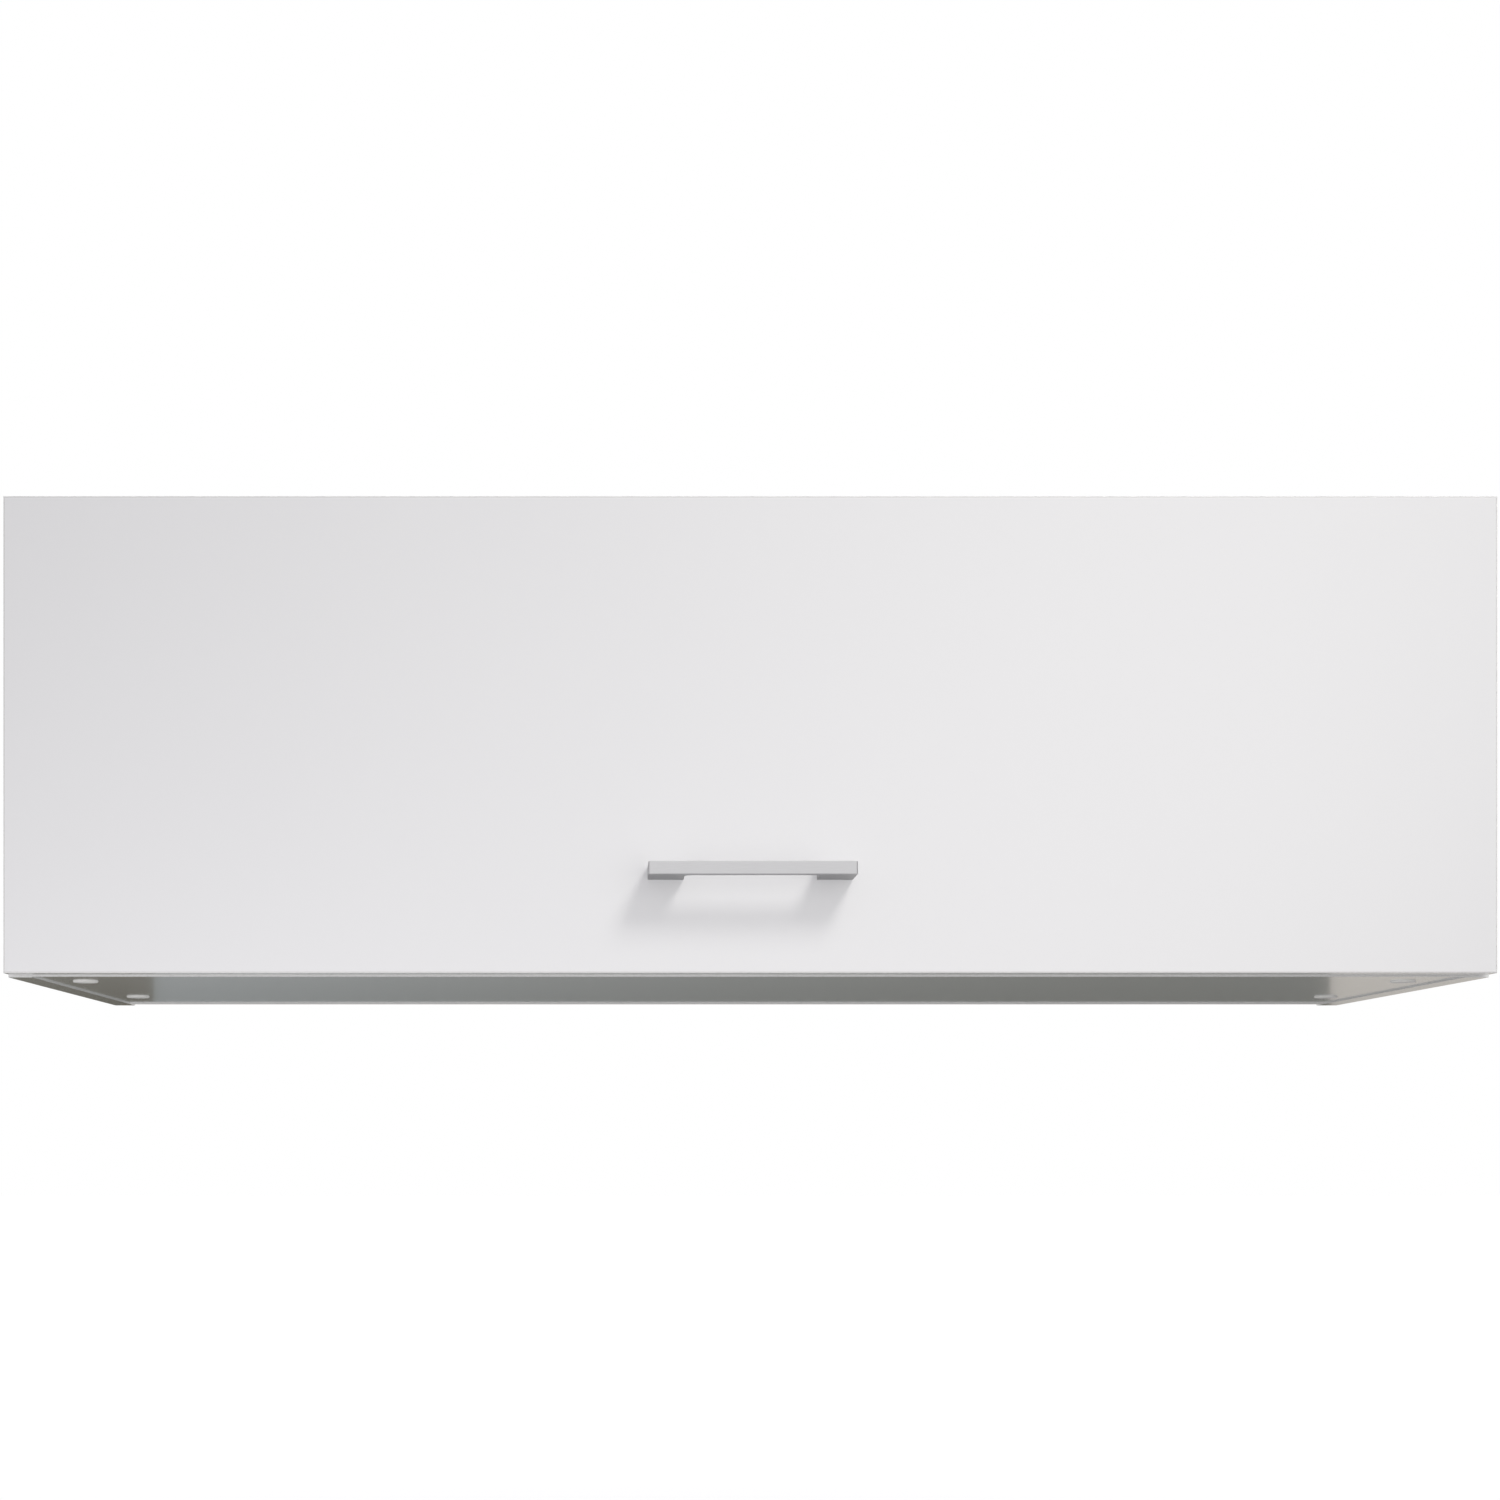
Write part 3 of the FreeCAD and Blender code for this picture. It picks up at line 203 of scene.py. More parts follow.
def end_finish(slot, **inputs):
    """Feed the Principled shader: a Wire for what varies, a number for what is the same all over."""
    tree = materials[slot].node_tree
    shader = tree.nodes["Principled BSDF"]
    for name, value in inputs.items():
        socket = shader.inputs[name.replace("_", " ").title().replace("Ior", "IOR")]
        if isinstance(value, Wire):
            tree.links.new(value.socket, socket)
        else:
            socket.default_value = value
    print("finish", slot, "has", len(tree.nodes), "nodes")


# %% [markdown]
# ## Boards: white melamine on chipboard
#
# The boards are pressed wood chips under a hard white paper skin. The skin has a fine pearl grain and
# reflects strongly at a low angle, which is why the underside looks grey from the front. Where a saw
# cut is left bare, at the rear ends, the chips show. One material does both, with a mask made from the
# place: on the wall plane the chips take over from the skin.

# %% Melamine, with bare chipboard at the rear
MELAMINE = (0.82, 0.82, 0.80, 1)
MELAMINE_THIN = (0.79, 0.79, 0.775, 1)
CHIP_DARK = (0.20, 0.125, 0.065, 1)
CHIP_MIDDLE = (0.43, 0.29, 0.165, 1)
CHIP_PALE = (0.64, 0.48, 0.31, 1)
CHIPS_PER_METRE = 380.0
CHIP_LONG = 3.0
BARE_DEEP = 0.3 * MM


def chipboard(place):
    """Colour and height of a sawn edge: flat chips, CHIP_LONG times as long as they are high."""
    chip = place.stretched((1.0, 1.0, CHIP_LONG)).chips(CHIPS_PER_METRE)
    color = chip.ramp((0.0, CHIP_DARK), (0.5, CHIP_MIDDLE), (1.0, CHIP_PALE))
    return color, chip


def white_board():
    place = start_finish("white_board")
    bare = place.axes()[1] > side_high.y - BARE_DEEP
    chip_color, chip_height = chipboard(place)
    skin = place.noise(9.0, detail=3.0).blend(MELAMINE_THIN, MELAMINE)
    pearl = place.noise(1900.0, detail=1.0)
    height = pearl * 0.1 + chip_height * bare * 4.0
    end_finish("white_board", base_color=bare.blend(skin, chip_color),
               roughness=0.20 + 0.06 * pearl + 0.5 * bare, normal=height.bump(0.03 * MM),
               coat_weight=0.8 - 0.8 * bare, coat_roughness=0.12)


white_board()

# %% [markdown]
# ## Edge bands
#
# Sawn edges that show are closed with a plastic band a millimetre thick. Its face is smoother than the
# board's, and a hair of glue shows where the two meet. The carcass has bands on its front edges, and
# the glue line lies behind them. The flap has them all round, so its line is found from the distance
# to the flap's outline.

# %% Edge bands with their glue line
BAND = (0.84, 0.84, 0.825, 1)
GLUE = (0.60, 0.595, 0.57, 1)
BAND_THICK = 1.0 * MM
GLUE_WIDE = 0.12 * MM


def edge_band(slot, depth_from_outline):
    """depth_from_outline turns the place's three axes into the distance from the band's face."""
    place = start_finish(slot)
    depth = depth_from_outline(*place.axes())
    glue = depth > BAND_THICK - GLUE_WIDE
    drawn = place.noise(700.0, detail=1.0)
    end_finish(slot, base_color=glue.blend(BAND, GLUE), roughness=0.24 + 0.08 * drawn,
               normal=drawn.bump(0.0015 * MM), coat_weight=0.8, coat_roughness=0.12)


def behind_carcass_front(x, y, z):
    return y - edging_low.y


def inside_flap_outline(x, y, z):
    """The smaller of the distances to the flap's ends and to its upper and lower edges."""
    half_wide = (flap_high.x - flap_low.x) / 2
    half_high = (flap_high.z - flap_low.z) / 2
    past_ends = abs(x - flap_middle.x) - half_wide
    past_edges = abs(z - flap_middle.z) - half_high
    return 0.0 - past_ends.larger(past_edges)


edge_band("white_edging", behind_carcass_front)
edge_band("flap_edging", inside_flap_outline)

# %% [markdown]
# ## The flap's front
#
# The front is the piece that people look at. Its foil is pressed on smooth, so it is flatter and a
# little more satin than the inside boards, and only a faint ripple of the board under it is left.

# %% Smooth satin front
FRONT = (0.885, 0.887, 0.885, 1)
FRONT_THIN = (0.875, 0.877, 0.877, 1)


def flap_front():
    place = start_finish("flap_front")
    ripple = place.noise(28.0, detail=2.0)
    fine = place.noise(1500.0, detail=1.0)
    cloud = place.noise(5.0, detail=2.0)
    end_finish("flap_front", base_color=cloud.blend(FRONT_THIN, FRONT),
               roughness=0.36 + 0.05 * fine, normal=(ripple * 2.0 + fine * 0.1).bump(0.02 * MM))


flap_front()

# %% [markdown]
# ## The back: hardboard
#
# A back is a thin sheet of pressed wood fibre. It is lacquered white where it shows inside, and bare
# brown behind, with the fine weave of the wire screen that it was pressed on.

# %% White in front, brown behind
FIBRE = (0.38, 0.245, 0.14, 1)
FIBRE_DARK = (0.24, 0.15, 0.083, 1)
BACK_WHITE = (0.80, 0.80, 0.785, 1)
SCREEN_PITCH = 1.4 * MM
LACQUER_DEEP = 0.2 * MM


def back_board():
    place = start_finish("back_board")
    x, y, z = place.axes()
    bare = y > back_low.y + LACQUER_DEEP
    turn = 2 * math.pi / SCREEN_PITCH
    screen = (x * turn).sine() * (z * turn).sine()
    fibre = place.stretched((1.0, 1.0, 2.0)).noise(260.0, detail=6.0, rough=0.7)
    brown = (fibre + 0.12 * screen).span(0.3, 0.7).blend(FIBRE_DARK, FIBRE)
    height = (screen * 0.5 + fibre) * bare + 0.1 * fibre
    end_finish("back_board", base_color=bare.blend(BACK_WHITE, brown),
               roughness=0.38 + 0.45 * bare, normal=height.bump(0.08 * MM))


back_board()

# %% [markdown]
# ## Satin aluminium
#
# The handle is brushed along its length and then anodised. Brushing leaves fine scratches that run one
# way, so the noise is stretched along X: long along the handle and thin across it. The scratches
# change the roughness and the normal, and the colour hardly at all.

# %% Brushed and anodised handle
ALUMINIUM = (0.73, 0.725, 0.735, 1)
ALUMINIUM_DARK = (0.66, 0.655, 0.665, 1)


def satin_aluminium():
    place = start_finish("satin_aluminium")
    scratches = place.stretched((0.02, 1.0, 1.0)).noise(5200.0, detail=3.0, rough=0.65)
    cloud = place.noise(60.0)
    end_finish("satin_aluminium", metallic=1.0, specular_tint=(0.42, 0.42, 0.42, 1),
               base_color=scratches.span(0.3, 0.7).blend(ALUMINIUM_DARK, ALUMINIUM),
               roughness=0.27 + 0.14 * scratches + 0.04 * cloud, normal=scratches.bump(0.012 * MM))


satin_aluminium()

# %% [markdown]
# ## Moulded plastics
#
# Caps, hangers, lift housings and their covers come out of a steel mould whose walls were spark
# eroded, which leaves a fine matt grain. One function does them all: what differs is the colour, the
# size of the grain and how matt it is. The flap's bumpers are moulded too, and let light through.

# %% Plastics with a mould grain
def moulded(slot, color, shade, grains, depth, rough, **more):
    """grains to the metre, depth in metres, rough at the grain's mean."""
    place = start_finish(slot)
    grain = place.noise(grains, detail=2.0)
    flow = place.noise(45.0, detail=1.0)
    end_finish(slot, base_color=flow.blend(shade, color), roughness=rough + 0.12 * (grain - 0.5),
               normal=grain.bump(depth), **more)


moulded("cap_plastic", (0.87, 0.865, 0.83, 1), (0.84, 0.835, 0.80, 1), 2600.0, 0.03 * MM, 0.55)
moulded("hanger_plastic", (0.76, 0.76, 0.745, 1), (0.72, 0.72, 0.705, 1), 2200.0, 0.04 * MM, 0.5)
moulded("lift_plastic", (0.215, 0.22, 0.225, 1), (0.19, 0.195, 0.20, 1), 2000.0, 0.05 * MM, 0.5)
moulded("cover_plastic", (0.60, 0.605, 0.605, 1), (0.57, 0.575, 0.575, 1), 2400.0, 0.03 * MM, 0.42)
moulded("clear_bumper", (0.86, 0.88, 0.88, 1), (0.83, 0.85, 0.86, 1), 600.0, 0.01 * MM, 0.2,
        transmission_weight=0.65, ior=1.46)

# %% [markdown]
# ## Plated and cast metal
#
# Hinges and lift arms are pressed steel with a nickel plate, which is warm and even. Wall plates and
# hooks are zinc plated, cooler and cloudy. The cams are die cast zinc, dull and slightly porous. Again
# one function makes them all, with a cloud for the plate and a fine grain for the metal under it.

# %% Metals
def plated(slot, bright, dull, rough, clouds, grains, depth):
    """clouds and grains to the metre, depth of the grain in metres."""
    place = start_finish(slot)
    cloud = place.noise(clouds, detail=4.0, rough=0.6)
    grain = place.noise(grains, detail=2.0)
    end_finish(slot, metallic=1.0, base_color=cloud.span(0.3, 0.7).blend(dull, bright),
               roughness=rough + 0.14 * (cloud - 0.5) + 0.08 * (grain - 0.5), normal=grain.bump(depth))


plated("nickel", (0.66, 0.635, 0.59, 1), (0.58, 0.555, 0.515, 1), 0.24, 90.0, 1800.0, 0.01 * MM)
plated("lift_steel", (0.60, 0.60, 0.59, 1), (0.52, 0.52, 0.51, 1), 0.30, 110.0, 2200.0, 0.012 * MM)
plated("zinc_plate", (0.62, 0.635, 0.65, 1), (0.50, 0.515, 0.535, 1), 0.36, 220.0, 2400.0, 0.02 * MM)
plated("cam_zinc", (0.54, 0.54, 0.53, 1), (0.42, 0.42, 0.415, 1), 0.46, 350.0, 1500.0, 0.05 * MM)
plated("screw_steel", (0.62, 0.62, 0.61, 1), (0.52, 0.525, 0.53, 1), 0.30, 300.0, 2600.0, 0.012 * MM)

# %% [markdown]
# ## Beech dowels
#
# Dowels are turned from beech, a pale wood with short dark flecks along the grain. The grain runs with
# the dowel, which lies along X, so the noise is stretched that way.

# %% Raw beech
BEECH = (0.60, 0.41, 0.235, 1)
BEECH_FLECK = (0.36, 0.215, 0.11, 1)


def beech():
    place = start_finish("beech")
    fibre = place.stretched((0.08, 1.0, 1.0)).noise(1600.0, detail=4.0)
    fleck = place.stretched((0.35, 1.0, 1.0)).noise(1100.0).span(0.62, 0.72)
    end_finish("beech", base_color=(fleck * 0.6 + fibre * 0.4).blend(BEECH, BEECH_FLECK),
               roughness=0.62 + 0.1 * fibre, normal=fibre.bump(0.05 * MM))


beech()

# %% [markdown]
# ## Dress the CAD pieces
#
# The record says which finish each piece takes, so a loop can dress them all. Only the material slots
# change: the shape of a CAD piece is never touched here.

# %% Give each CAD piece its finish
for part in subparts:
    mesh = nodes[part["node"]].data
    mesh.materials.clear()
    mesh.materials.append(materials[part["material_slot"]])
print("dressed", len(subparts), "pieces in", len(materials), "finishes")

# %% [markdown]
# ## Where the screws are
#
# The CAD screws are plain: a shaft and a round head. Their places are right, so the new ones take them
# over. A node holds several screws as loose shells, and a flood fill over shared corners tells them
# apart: each corner takes the lowest label among its neighbours until nothing changes.

# %% Tell the shells of a node apart
def shells(node):
    """The corners of each separate shell of a CAD node, as one array per shell."""
    mesh = nodes[node].data
    corners = np.zeros(len(mesh.vertices) * 3)
    mesh.vertices.foreach_get("co", corners)
    ends = np.zeros(len(mesh.edges) * 2, dtype=int)
    mesh.edges.foreach_get("vertices", ends)
    places, index = np.unique(corners.reshape(-1, 3).round(6), axis=0, return_inverse=True)
    first, second = index.reshape(-1)[ends].reshape(-1, 2).T
    label = np.arange(len(places))
    while True:
        lowest = label.copy()
        np.minimum.at(lowest, first, label[second])
        np.minimum.at(lowest, second, label[first])
        if (lowest == label).all():
            return [places[label == mark] for mark in np.unique(label)]
        label = lowest


print(len(shells("hinge_cup_screws")), "cup screws,", len(shells("housing_screws")), "housing screws")

# %% [markdown]
# ## A screw as one surface
#
# A screw is a profile turned about an axis, so it fits a grid: rows run from the tip up the shaft and
# over the head to its middle, and columns go round. Two things break the turning. The thread is a
# ridge whose place climbs with the angle, and the driver recess is a cross that sinks into the head.
# Both are written as functions of the row and the angle, and the whole screw stays one closed skin.

# %% The skin of a cross head screw
COLUMNS = 48
ROWS_PER_TURN = 8
FEWEST_ROWS = 4
FADE_ROWS = 6
TIP_START = 0.02
SHARP_ANGLE = math.radians(40)

# A share of the shaft's radius.
THREAD_DEEP = 0.16

# Shares of the head's radius, and in the outline's second column of its height.
HEAD_OUTLINE = np.array([[0.72, 0.0], [0.97, 0.0], [1.0, 0.12],
                         [1.0, 0.30], [0.96, 0.55], [0.88, 0.74]])
TOP_START, TOP_END, TOP_ROWS = 0.80, 0.02, 22
CROSS_REACH = 0.52
CROSS_WIDE = 0.105
WALL_SLOPE = 0.04
END_SLOPE = 0.14

# Shares of the head's height. The cross is CROSS_MIDDLE times as deep at the middle of the head.
DOME_FALL = 0.42
CROSS_DEEP = 0.42
CROSS_MIDDLE = 1.6


def screw_skin(shaft_radius, head_radius, head_high, shaft_long, pitch):
    """Rows by columns by 3, along +Z from the tip at 0 to the top of the head.

    Shaft: radius times (1 - depth * fall). The fall is 0 on the thread's crest and 1 between crests,
    which is where height / pitch - angle / full turn is a whole number. Head: a dome, less a cross of
    two slots that cross at the middle, whose walls slope.
    """
    angle = np.linspace(0, 2 * math.pi, COLUMNS, endpoint=False)
    rows = max(FEWEST_ROWS, round(shaft_long / pitch * ROWS_PER_TURN))
    climb = np.linspace(0, 1, rows)[:, None]
    phase = (climb * shaft_long / pitch - angle / (2 * math.pi)) % 1.0
    groove = THREAD_DEEP * np.abs(2 * phase - 1) * np.clip((1 - climb) * rows / FADE_ROWS, 0, 1)
    taper = np.clip(climb * shaft_long / (2 * shaft_radius), TIP_START, 1) ** 0.5
    shaft = np.stack([shaft_radius * taper * (1 - groove), climb * shaft_long + 0 * angle], -1)
    rim = np.stack([head_radius * HEAD_OUTLINE[:, :1] + 0 * angle,
                    shaft_long + head_high * HEAD_OUTLINE[:, 1:] + 0 * angle], -1)
    out = np.linspace(TOP_START, TOP_END, TOP_ROWS)[:, None] + 0 * angle
    across = np.abs(out * np.cos(angle))
    along = np.abs(out * np.sin(angle))
    near = np.minimum(across, along)
    far = np.maximum(across, along)
    between_walls = np.clip((CROSS_WIDE - near) / WALL_SLOPE, 0, 1)
    within_reach = np.clip((CROSS_REACH - far) / END_SLOPE, 0, 1)
    recess = between_walls * within_reach * head_high * CROSS_DEEP * (CROSS_MIDDLE - out)
    dome = head_high * (1 - DOME_FALL * out ** 2) - recess
    top = np.stack([head_radius * out, shaft_long + dome], -1)
    skin = np.concatenate([shaft, rim, top])
    return np.stack([skin[..., 0] * np.cos(angle), skin[..., 0] * np.sin(angle), skin[..., 1]], -1)


def grid_mesh(name, skins):
    """One mesh of several skins. Each is a grid that closes round its columns and at both ends."""
    corners, faces, start = [], [], 0
    for skin in skins:
        rows, columns = skin.shape[:2]
        index = start + np.arange(rows * columns).reshape(rows, columns)
        right = np.roll(index, -1, axis=1)
        quads = np.stack([index[:-1], right[:-1], right[1:], index[1:]], -1).reshape(-1, 4)
        faces += quads.tolist() + [index[0, ::-1].tolist(), index[-1].tolist()]
        corners.append(skin.reshape(-1, 3))
        start += rows * columns
    mesh = bpy.data.meshes.new(name)
    mesh.from_pydata(np.concatenate(corners).tolist(), [], faces)
    mesh.shade_smooth()
    mesh.set_sharp_from_angle(angle=SHARP_ANGLE)
    return mesh


print("one screw has", screw_skin(2, 4, 2, 14, 1.5).shape[0] * COLUMNS, "corners")

# %% [markdown]
# ## Put the screws in
#
# Each CAD shell says where its screw is, how long it is and which way it faces: the head is at the end
# with the wider ring of corners. The new skin is turned to that axis in its mesh, so its object stays
# at the origin, as the CAD pieces' objects do.

# %% Swap the plain screws for real ones
ALONG_X, ALONG_Y, ALONG_Z = 0, 1, 2
AT_END = 0.05 * MM
AT_WIDEST = 0.02 * MM


def fit_screw(corners, axis, pitch):
    """A screw skin that fills one CAD shell, with its head at the wider end.

    Turned to its axis, the grid can come out inside out, and then its columns are reversed.
    """
    low, high = corners.min(0), corners.max(0)
    middle = (low + high) / 2
    others = [a for a in range(3) if a != axis]
    radius = np.linalg.norm((corners - middle)[:, others], axis=1)
    height = corners[:, axis]
    head_radius = radius.max()
    at_low = radius[height < low[axis] + AT_END].max()
    at_high = radius[height > high[axis] - AT_END].max()
    sense = 1 if at_high > at_low else -1
    shaft_radius = min(at_low, at_high)
    tip = low[axis] if sense > 0 else high[axis]
    wide = height[radius > head_radius - AT_WIDEST]
    shaft_long = np.abs(wide - tip).min()
    head_high = (high - low)[axis] - shaft_long
    skin = screw_skin(shaft_radius, head_radius, head_high, shaft_long, pitch)
    placed = np.empty_like(skin)
    placed[..., axis] = tip + sense * skin[..., 2]
    placed[..., others[0]] = middle[others[0]] + skin[..., 0]
    placed[..., others[1]] = middle[others[1]] + skin[..., 1]
    handed = sense * (-1 if axis == ALONG_Y else 1)
    return placed if handed > 0 else placed[:, ::-1]


def swap(node, mesh):
    """Put this mesh in the place of a CAD node, on the same body and with the same finish."""
    piece = bpy.data.objects.new(node.rstrip("s") + "_set", mesh)
    bpy.context.scene.collection.objects.link(piece)
    mesh.materials.append(materials[slot_of[node]])
    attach(piece, body_of[node])
    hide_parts(node)


SCREWS = {
    "handle_screws": (ALONG_Y, 0.7 * MM),
    "hinge_cup_screws": (ALONG_Y, 1.5 * MM),
    "hinge_plate_screws": (ALONG_Z, 1.5 * MM),
    "hinge_arm_screws": (ALONG_Z, 1.0 * MM),
    "bracket_screws": (ALONG_Y, 1.5 * MM),
    "housing_screws": (ALONG_X, 1.8 * MM),
    "back_screws": (ALONG_Y, 1.5 * MM),
    "hanger_screws": (ALONG_Y, 1.0 * MM),
}
for node, (axis, pitch) in SCREWS.items():
    skins = [fit_screw(corners, axis, pitch) for corners in shells(node)]
    swap(node, grid_mesh(node, skins))
    print(node, len(skins), "screws")

# %% [markdown]
# ## Fluted dowels
#
# A dowel is grooved along its length so that glue and air can get out of its hole, and both ends are
# chamfered so that it starts easily. The CAD dowels are plain, so a surface with a wave round it takes
# their place: the wave only goes inwards from the CAD radius, and the dowel still fits its hole.

# %% Swap the plain dowels for fluted ones
FLUTES = 16
COLUMNS_PER_FLUTE = 6
FLUTE_DEEP = 0.07
DOWEL_CHAMFER = 1.2 * MM
DOWEL_END = 0.82


def dowel_skin(radius, length):
    """Rows by columns by 3, along +X from one end at 0 to the other.

    Radius times the taper of the ends times (1 - depth * wave), with one wave for each flute round it.
    """
    angle = np.linspace(0, 2 * math.pi, FLUTES * COLUMNS_PER_FLUTE, endpoint=False)
    place = np.array([0.0, DOWEL_CHAMFER, length / 2, length - DOWEL_CHAMFER, length])
    taper = np.array([DOWEL_END, 1.0, 1.0, 1.0, DOWEL_END])
    wave = 0.5 - 0.5 * np.cos(FLUTES * angle)
    ring = radius * taper[:, None] * (1 - FLUTE_DEEP * wave)
    return np.stack([place[:, None] + 0 * ring, ring * np.cos(angle), ring * np.sin(angle)], -1)


def fit_dowel(corners):
    """A dowel skin that fills one CAD shell."""
    low, high = corners.min(0), corners.max(0)
    middle = (low + high) / 2
    skin = dowel_skin((high - low)[1] / 2, (high - low)[0])
    return skin + np.array([low[0], middle[1], middle[2]])


dowel_skins = [fit_dowel(corners) for corners in shells("dowels")]
swap("dowels", grid_mesh("dowels", dowel_skins))
print(len(dowel_skins), "dowels with", FLUTES, "flutes")

# %% [markdown]
# ## The studio
#
# White things on white need light with a direction. One large soft lamp at the upper right of the front
# draws the shadows of the handle and lets the front darken towards the left. A pale world fills the
# rest. Only rays that reach the camera, or that a glossy or clear surface sends on, see it as white.
# Metal in an all white room looks like plaster, so reflections find a grey wall far to each side, as
# from a photographer's black flags, and it draws the thin dark lines along the handle's rounded ends.
# The left fill stands low and would throw a second shadow of the handle upwards, so it casts none.
# The last two lamps stand behind the cabinet to its left and right, for views of its sides and back.

# %% World and lamps
AMBIENT = (0.462, 0.455, 0.48, 1)
SIDE_GREY = (0.22, 0.22, 0.225, 1)
WHITE = (1.0, 1.0, 1.0, 1)
GREY_STARTS, GREY_FULL = 0.72, 0.90
FRONT_MIDDLE = np.array([0.0, flap_low.y, flap_middle.z])


def ray_kinds(wire, *kinds):
    """For each kind of ray, a Wire that is 1 for such rays and 0 for all others."""
    rays = wire.node("LightPath").socket.node.outputs
    return [Wire(wire.tree, rays[f"Is {kind} Ray"]) for kind in kinds]


def studio_world():
    """The light from far away, which depends on the ray and on how far it points sideways."""
    world = bpy.data.worlds.new("studio")
    world.use_nodes = True
    bpy.context.scene.world = world
    tree = world.node_tree
    wire = Wire(tree)
    direct, glossy, clear = ray_kinds(wire, "Camera", "Glossy", "Transmission")
    seen = direct.larger(glossy).larger(clear)
    sideways = abs(wire.node("TexCoord").axes()[0]).span(GREY_STARTS, GREY_FULL)
    light = (glossy * sideways).blend(seen.blend(AMBIENT, WHITE), SIDE_GREY)
    tree.links.new(light.socket, tree.nodes["Background"].inputs["Color"])


def soft_lamp(name, place, size, watts, color, shadow=True):
    """A round lamp at a place, turned towards the middle of the flap."""
    lamp = bpy.data.lights.new(name, "AREA")
    lamp.use_shadow = shadow
    lamp.shape = "DISK"
    lamp.size = size
    lamp.energy = watts
    lamp.color = color
    piece = bpy.data.objects.new(name, lamp)
    bpy.context.scene.collection.objects.link(piece)
    piece.location = place
    away = np.array(place) - FRONT_MIDDLE
    away /= np.linalg.norm(away)
    piece.rotation_euler = (math.acos(away[2]), 0.0, math.atan2(away[1], away[0]) + math.pi / 2)
    piece.visible_camera = False
    piece.visible_glossy = False


studio_world()
soft_lamp("key_lamp", (0.73, -1.52, 1.18), 0.65, 13.0, (1.0, 0.985, 0.96))
soft_lamp("right_fill", (0.34, -0.95, -0.20), 0.8, 1.2, (1.0, 0.985, 0.965))
soft_lamp("left_fill", (-0.51, -0.95, -0.83), 0.8, 3.8, (0.985, 0.975, 1.0), shadow=False)
for side, hand in ((-1, "left"), (1, "right")):
    soft_lamp(f"rear_fill_{hand}", (2.10 * side, 0.90, 0.90), 1.2, 18.0, WHITE[:3])
print("world and lamps stand")

# %% [markdown]
# ## The floor, and what the underside mirrors
#
# The cabinet hangs, so the floor is far below. It is pale, takes a weak shadow, and gets enough glow
# for the camera to read as white. The glossy underside is seen at a very low angle and works almost as
# a mirror of what is behind the cabinet: three upright cards that only reflections can see. Their glow
# is a painted wall with the cabinet's shadow on it: deep painted shade on the left, half shade in the
# middle, lit beige on the right, and painted shade towards their tops, right under the cabinet.

# %% Floor and cards
FLOOR_Z = -1.55
FLOOR_HALF = 40.0
FLOOR_PAINT = (0.41, 0.41, 0.41, 1)
FLOOR_PAINT_PALE = (0.43, 0.43, 0.43, 1)
FLOOR_IN_GLOSS = 0.4
NEAR, FAR = 1.0, 6.0
GLOW_NEAR, GLOW_FAR = 0.66, 0.78

CARD_Y, CARD_TOP = 2.0, -0.24
# The cards' glow weakens towards their tops: painted shade on the wall right under the cabinet.
CARD_SHADE_FADE = (-0.47, -0.36, 1.08, 0.86)
LEFT_END, LEFT_SEAM, RIGHT_SEAM, RIGHT_END = -2.2, -0.912, 1.173, 2.4


def flat_piece(name, corners):
    """One four sided face through the corners, for the studio."""
    mesh = bpy.data.meshes.new(name)
    mesh.from_pydata(corners, [], [(0, 1, 2, 3)])
    piece = bpy.data.objects.new(name, mesh)
    bpy.context.scene.collection.objects.link(piece)
    return piece


def studio_floor():
    """Paint that takes the shadow, and a glow for the camera that reflections see in part.

    The glow goes from GLOW_NEAR to GLOW_FAR with the square of the distance, from NEAR to FAR metres.
    """
    turns = ((-1, -1), (1, -1), (1, 1), (-1, 1))
    floor = flat_piece("floor", [(FLOOR_HALF * x, FLOOR_HALF * y, FLOOR_Z) for x, y in turns])
    place = start_finish("floor_paint")
    direct, glossy = ray_kinds(place, "Camera", "Glossy")
    seen = direct.larger(FLOOR_IN_GLOSS * glossy)
    x, y, _ = place.axes()
    away = (x * x + y * y).span(NEAR ** 2, FAR ** 2, GLOW_NEAR, GLOW_FAR)
    glow = place.node("Emission", inputs={"Color": WHITE, "Strength": seen * away})
    mottle = place.noise(3.0)
    end_finish("floor_paint", base_color=mottle.blend(FLOOR_PAINT, FLOOR_PAINT_PALE), roughness=0.8)
    tree = materials["floor_paint"].node_tree
    paint = Wire(tree, tree.nodes["Principled BSDF"].outputs[0])
    both = place.node("AddShader", inputs={0: paint, 1: glow})
    tree.links.new(both.socket, tree.nodes["Material Output"].inputs["Surface"])
    floor.data.materials.append(materials["floor_paint"])


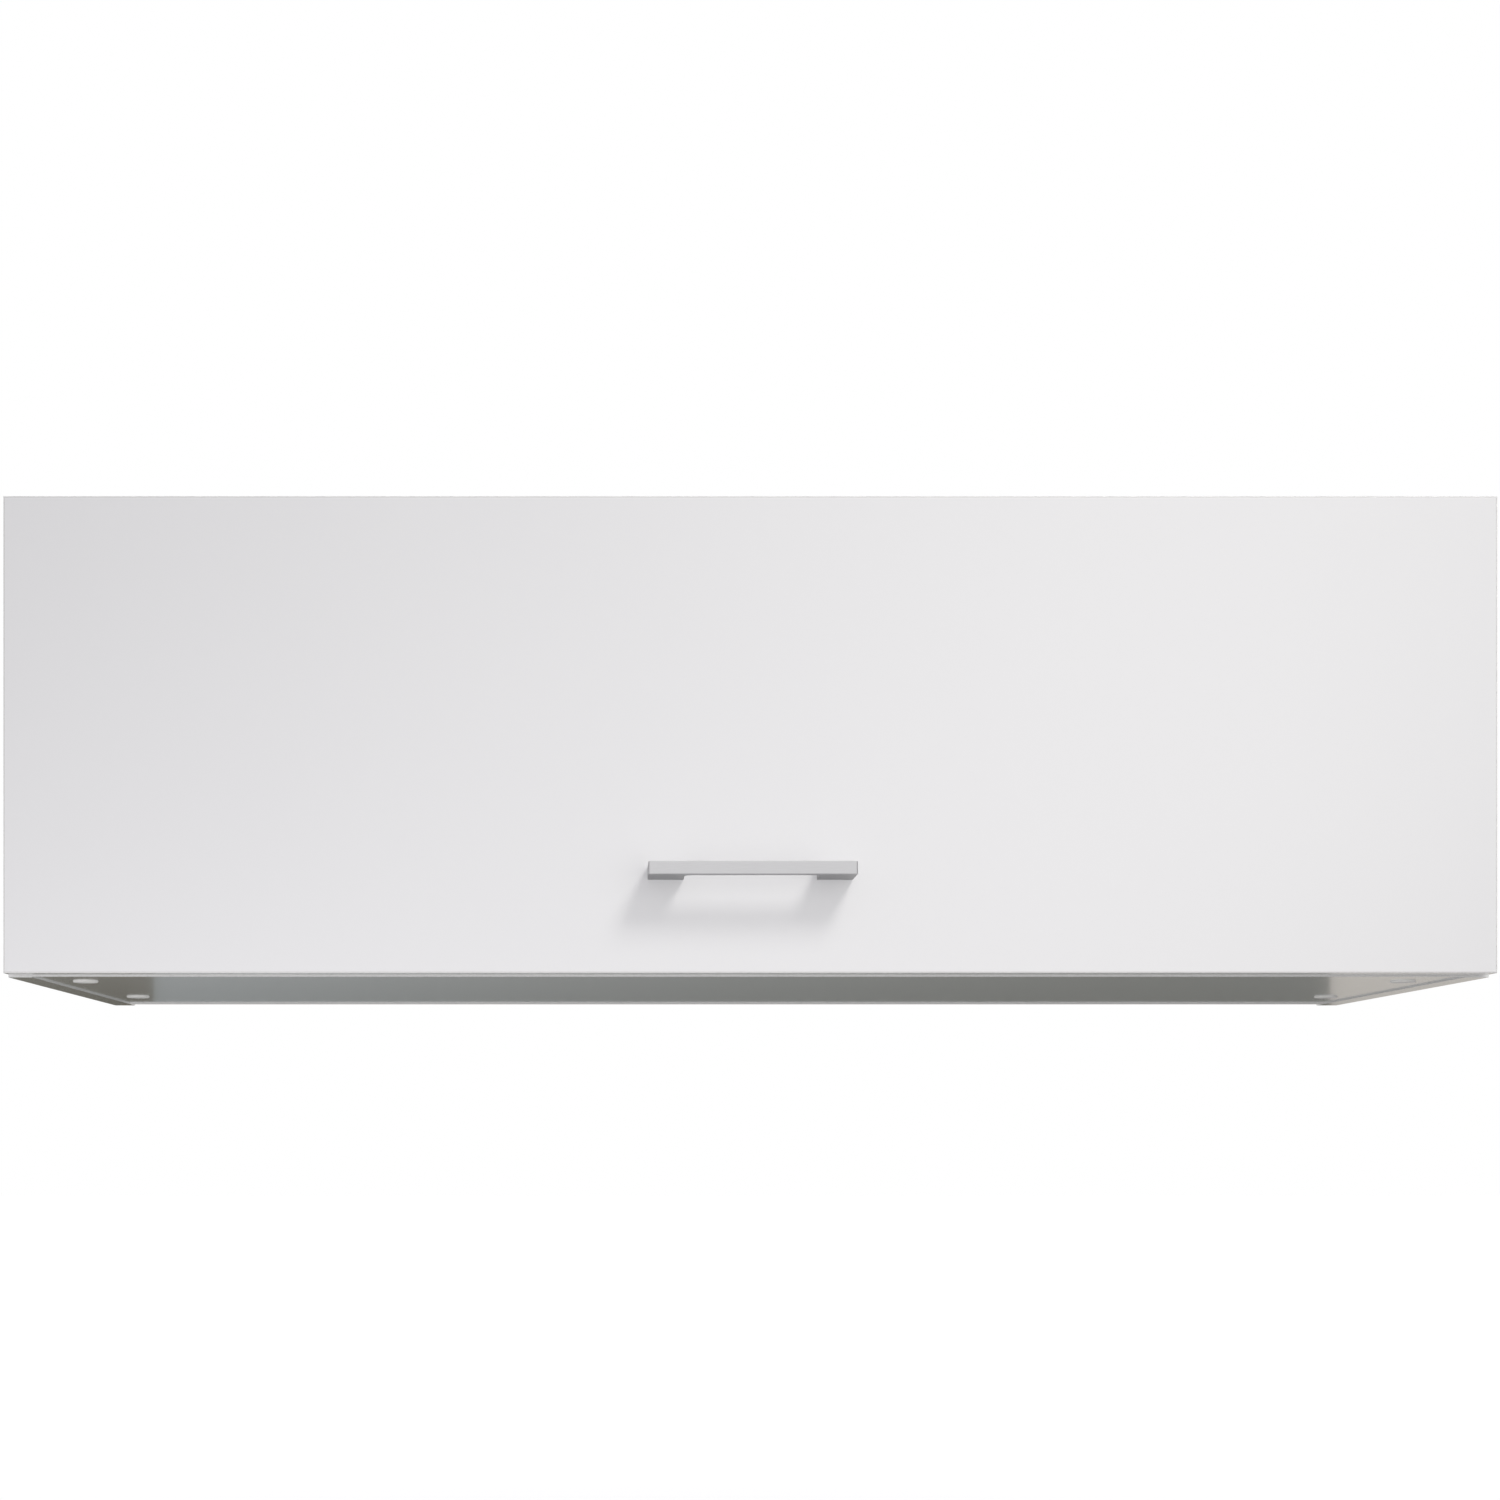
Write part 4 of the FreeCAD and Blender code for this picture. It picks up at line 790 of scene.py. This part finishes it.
def mirror_card(name, low_x, high_x, first, last):
    """An upright card behind the cabinet that only glossy rays see.

    Its colour goes from first at low_x to last at high_x, faster at the start: the share of last is
    along * (2 - along). Its glow is painted light and shade of a wall. It fades towards its upper edge,
    which the rear of the underside mirrors, as painted shade on the wall right under the cabinet.
    """
    card = flat_piece(name, [(low_x, CARD_Y, FLOOR_Z), (high_x, CARD_Y, FLOOR_Z),
                             (high_x, CARD_Y, CARD_TOP), (low_x, CARD_Y, CARD_TOP)])
    place = start_finish(name)
    tree = materials[name].node_tree
    x, _, z = place.axes()
    along = x.span(low_x, high_x)
    color = (along * (2.0 - along)).blend(first, last)
    glow = place.node("Emission", inputs={"Color": color, "Strength": z.span(*CARD_SHADE_FADE)})
    tree.links.new(glow.socket, tree.nodes["Material Output"].inputs["Surface"])
    card.data.materials.append(materials[name])
    card.visible_camera = False
    card.visible_diffuse = False
    card.visible_shadow = False
    card.visible_transmission = False


studio_floor()
# Painted light and shade of a wall: deep shade on the left, half shade in the middle, lit on the right.
mirror_card("card_left", LEFT_END, LEFT_SEAM, (0.05, 0.045, 0.025, 1), (0.055, 0.05, 0.025, 1))
mirror_card("card_middle", LEFT_SEAM, RIGHT_SEAM, (0.21, 0.23, 0.23, 1), (0.11, 0.115, 0.10, 1))
mirror_card("card_right", RIGHT_SEAM, RIGHT_END, (0.50, 0.47, 0.43, 1), (0.52, 0.49, 0.45, 1))
print("floor at z", FLOOR_Z)

# %% [markdown]
# ## The camera
#
# The camera looks straight along +Y, so the front stays a true rectangle. It stands below the cabinet
# and the picture is shifted up, which shows the underside without tilting the front's edges.

# %% Camera at the photograph's place
SENSOR_WIDE_MM = 36.0
LENS_MM = 50.37
SHIFT_X, SHIFT_Y = 0.0875, 0.258
CAMERA_PLACE = (-0.0877, -1.7198, -0.3698)

camera_data = bpy.data.cameras.new("camera")
camera_data.sensor_width = SENSOR_WIDE_MM
camera_data.lens = LENS_MM
camera_data.shift_x = SHIFT_X
camera_data.shift_y = SHIFT_Y
camera = bpy.data.objects.new("camera", camera_data)
camera.location = CAMERA_PLACE
camera.rotation_euler = (math.pi / 2, 0.0, 0.0)
bpy.context.scene.collection.objects.link(camera)
bpy.context.scene.camera = camera
bpy.context.scene.view_settings.view_transform = "Standard"
print("camera at", tuple(round(v, 3) for v in camera.location))
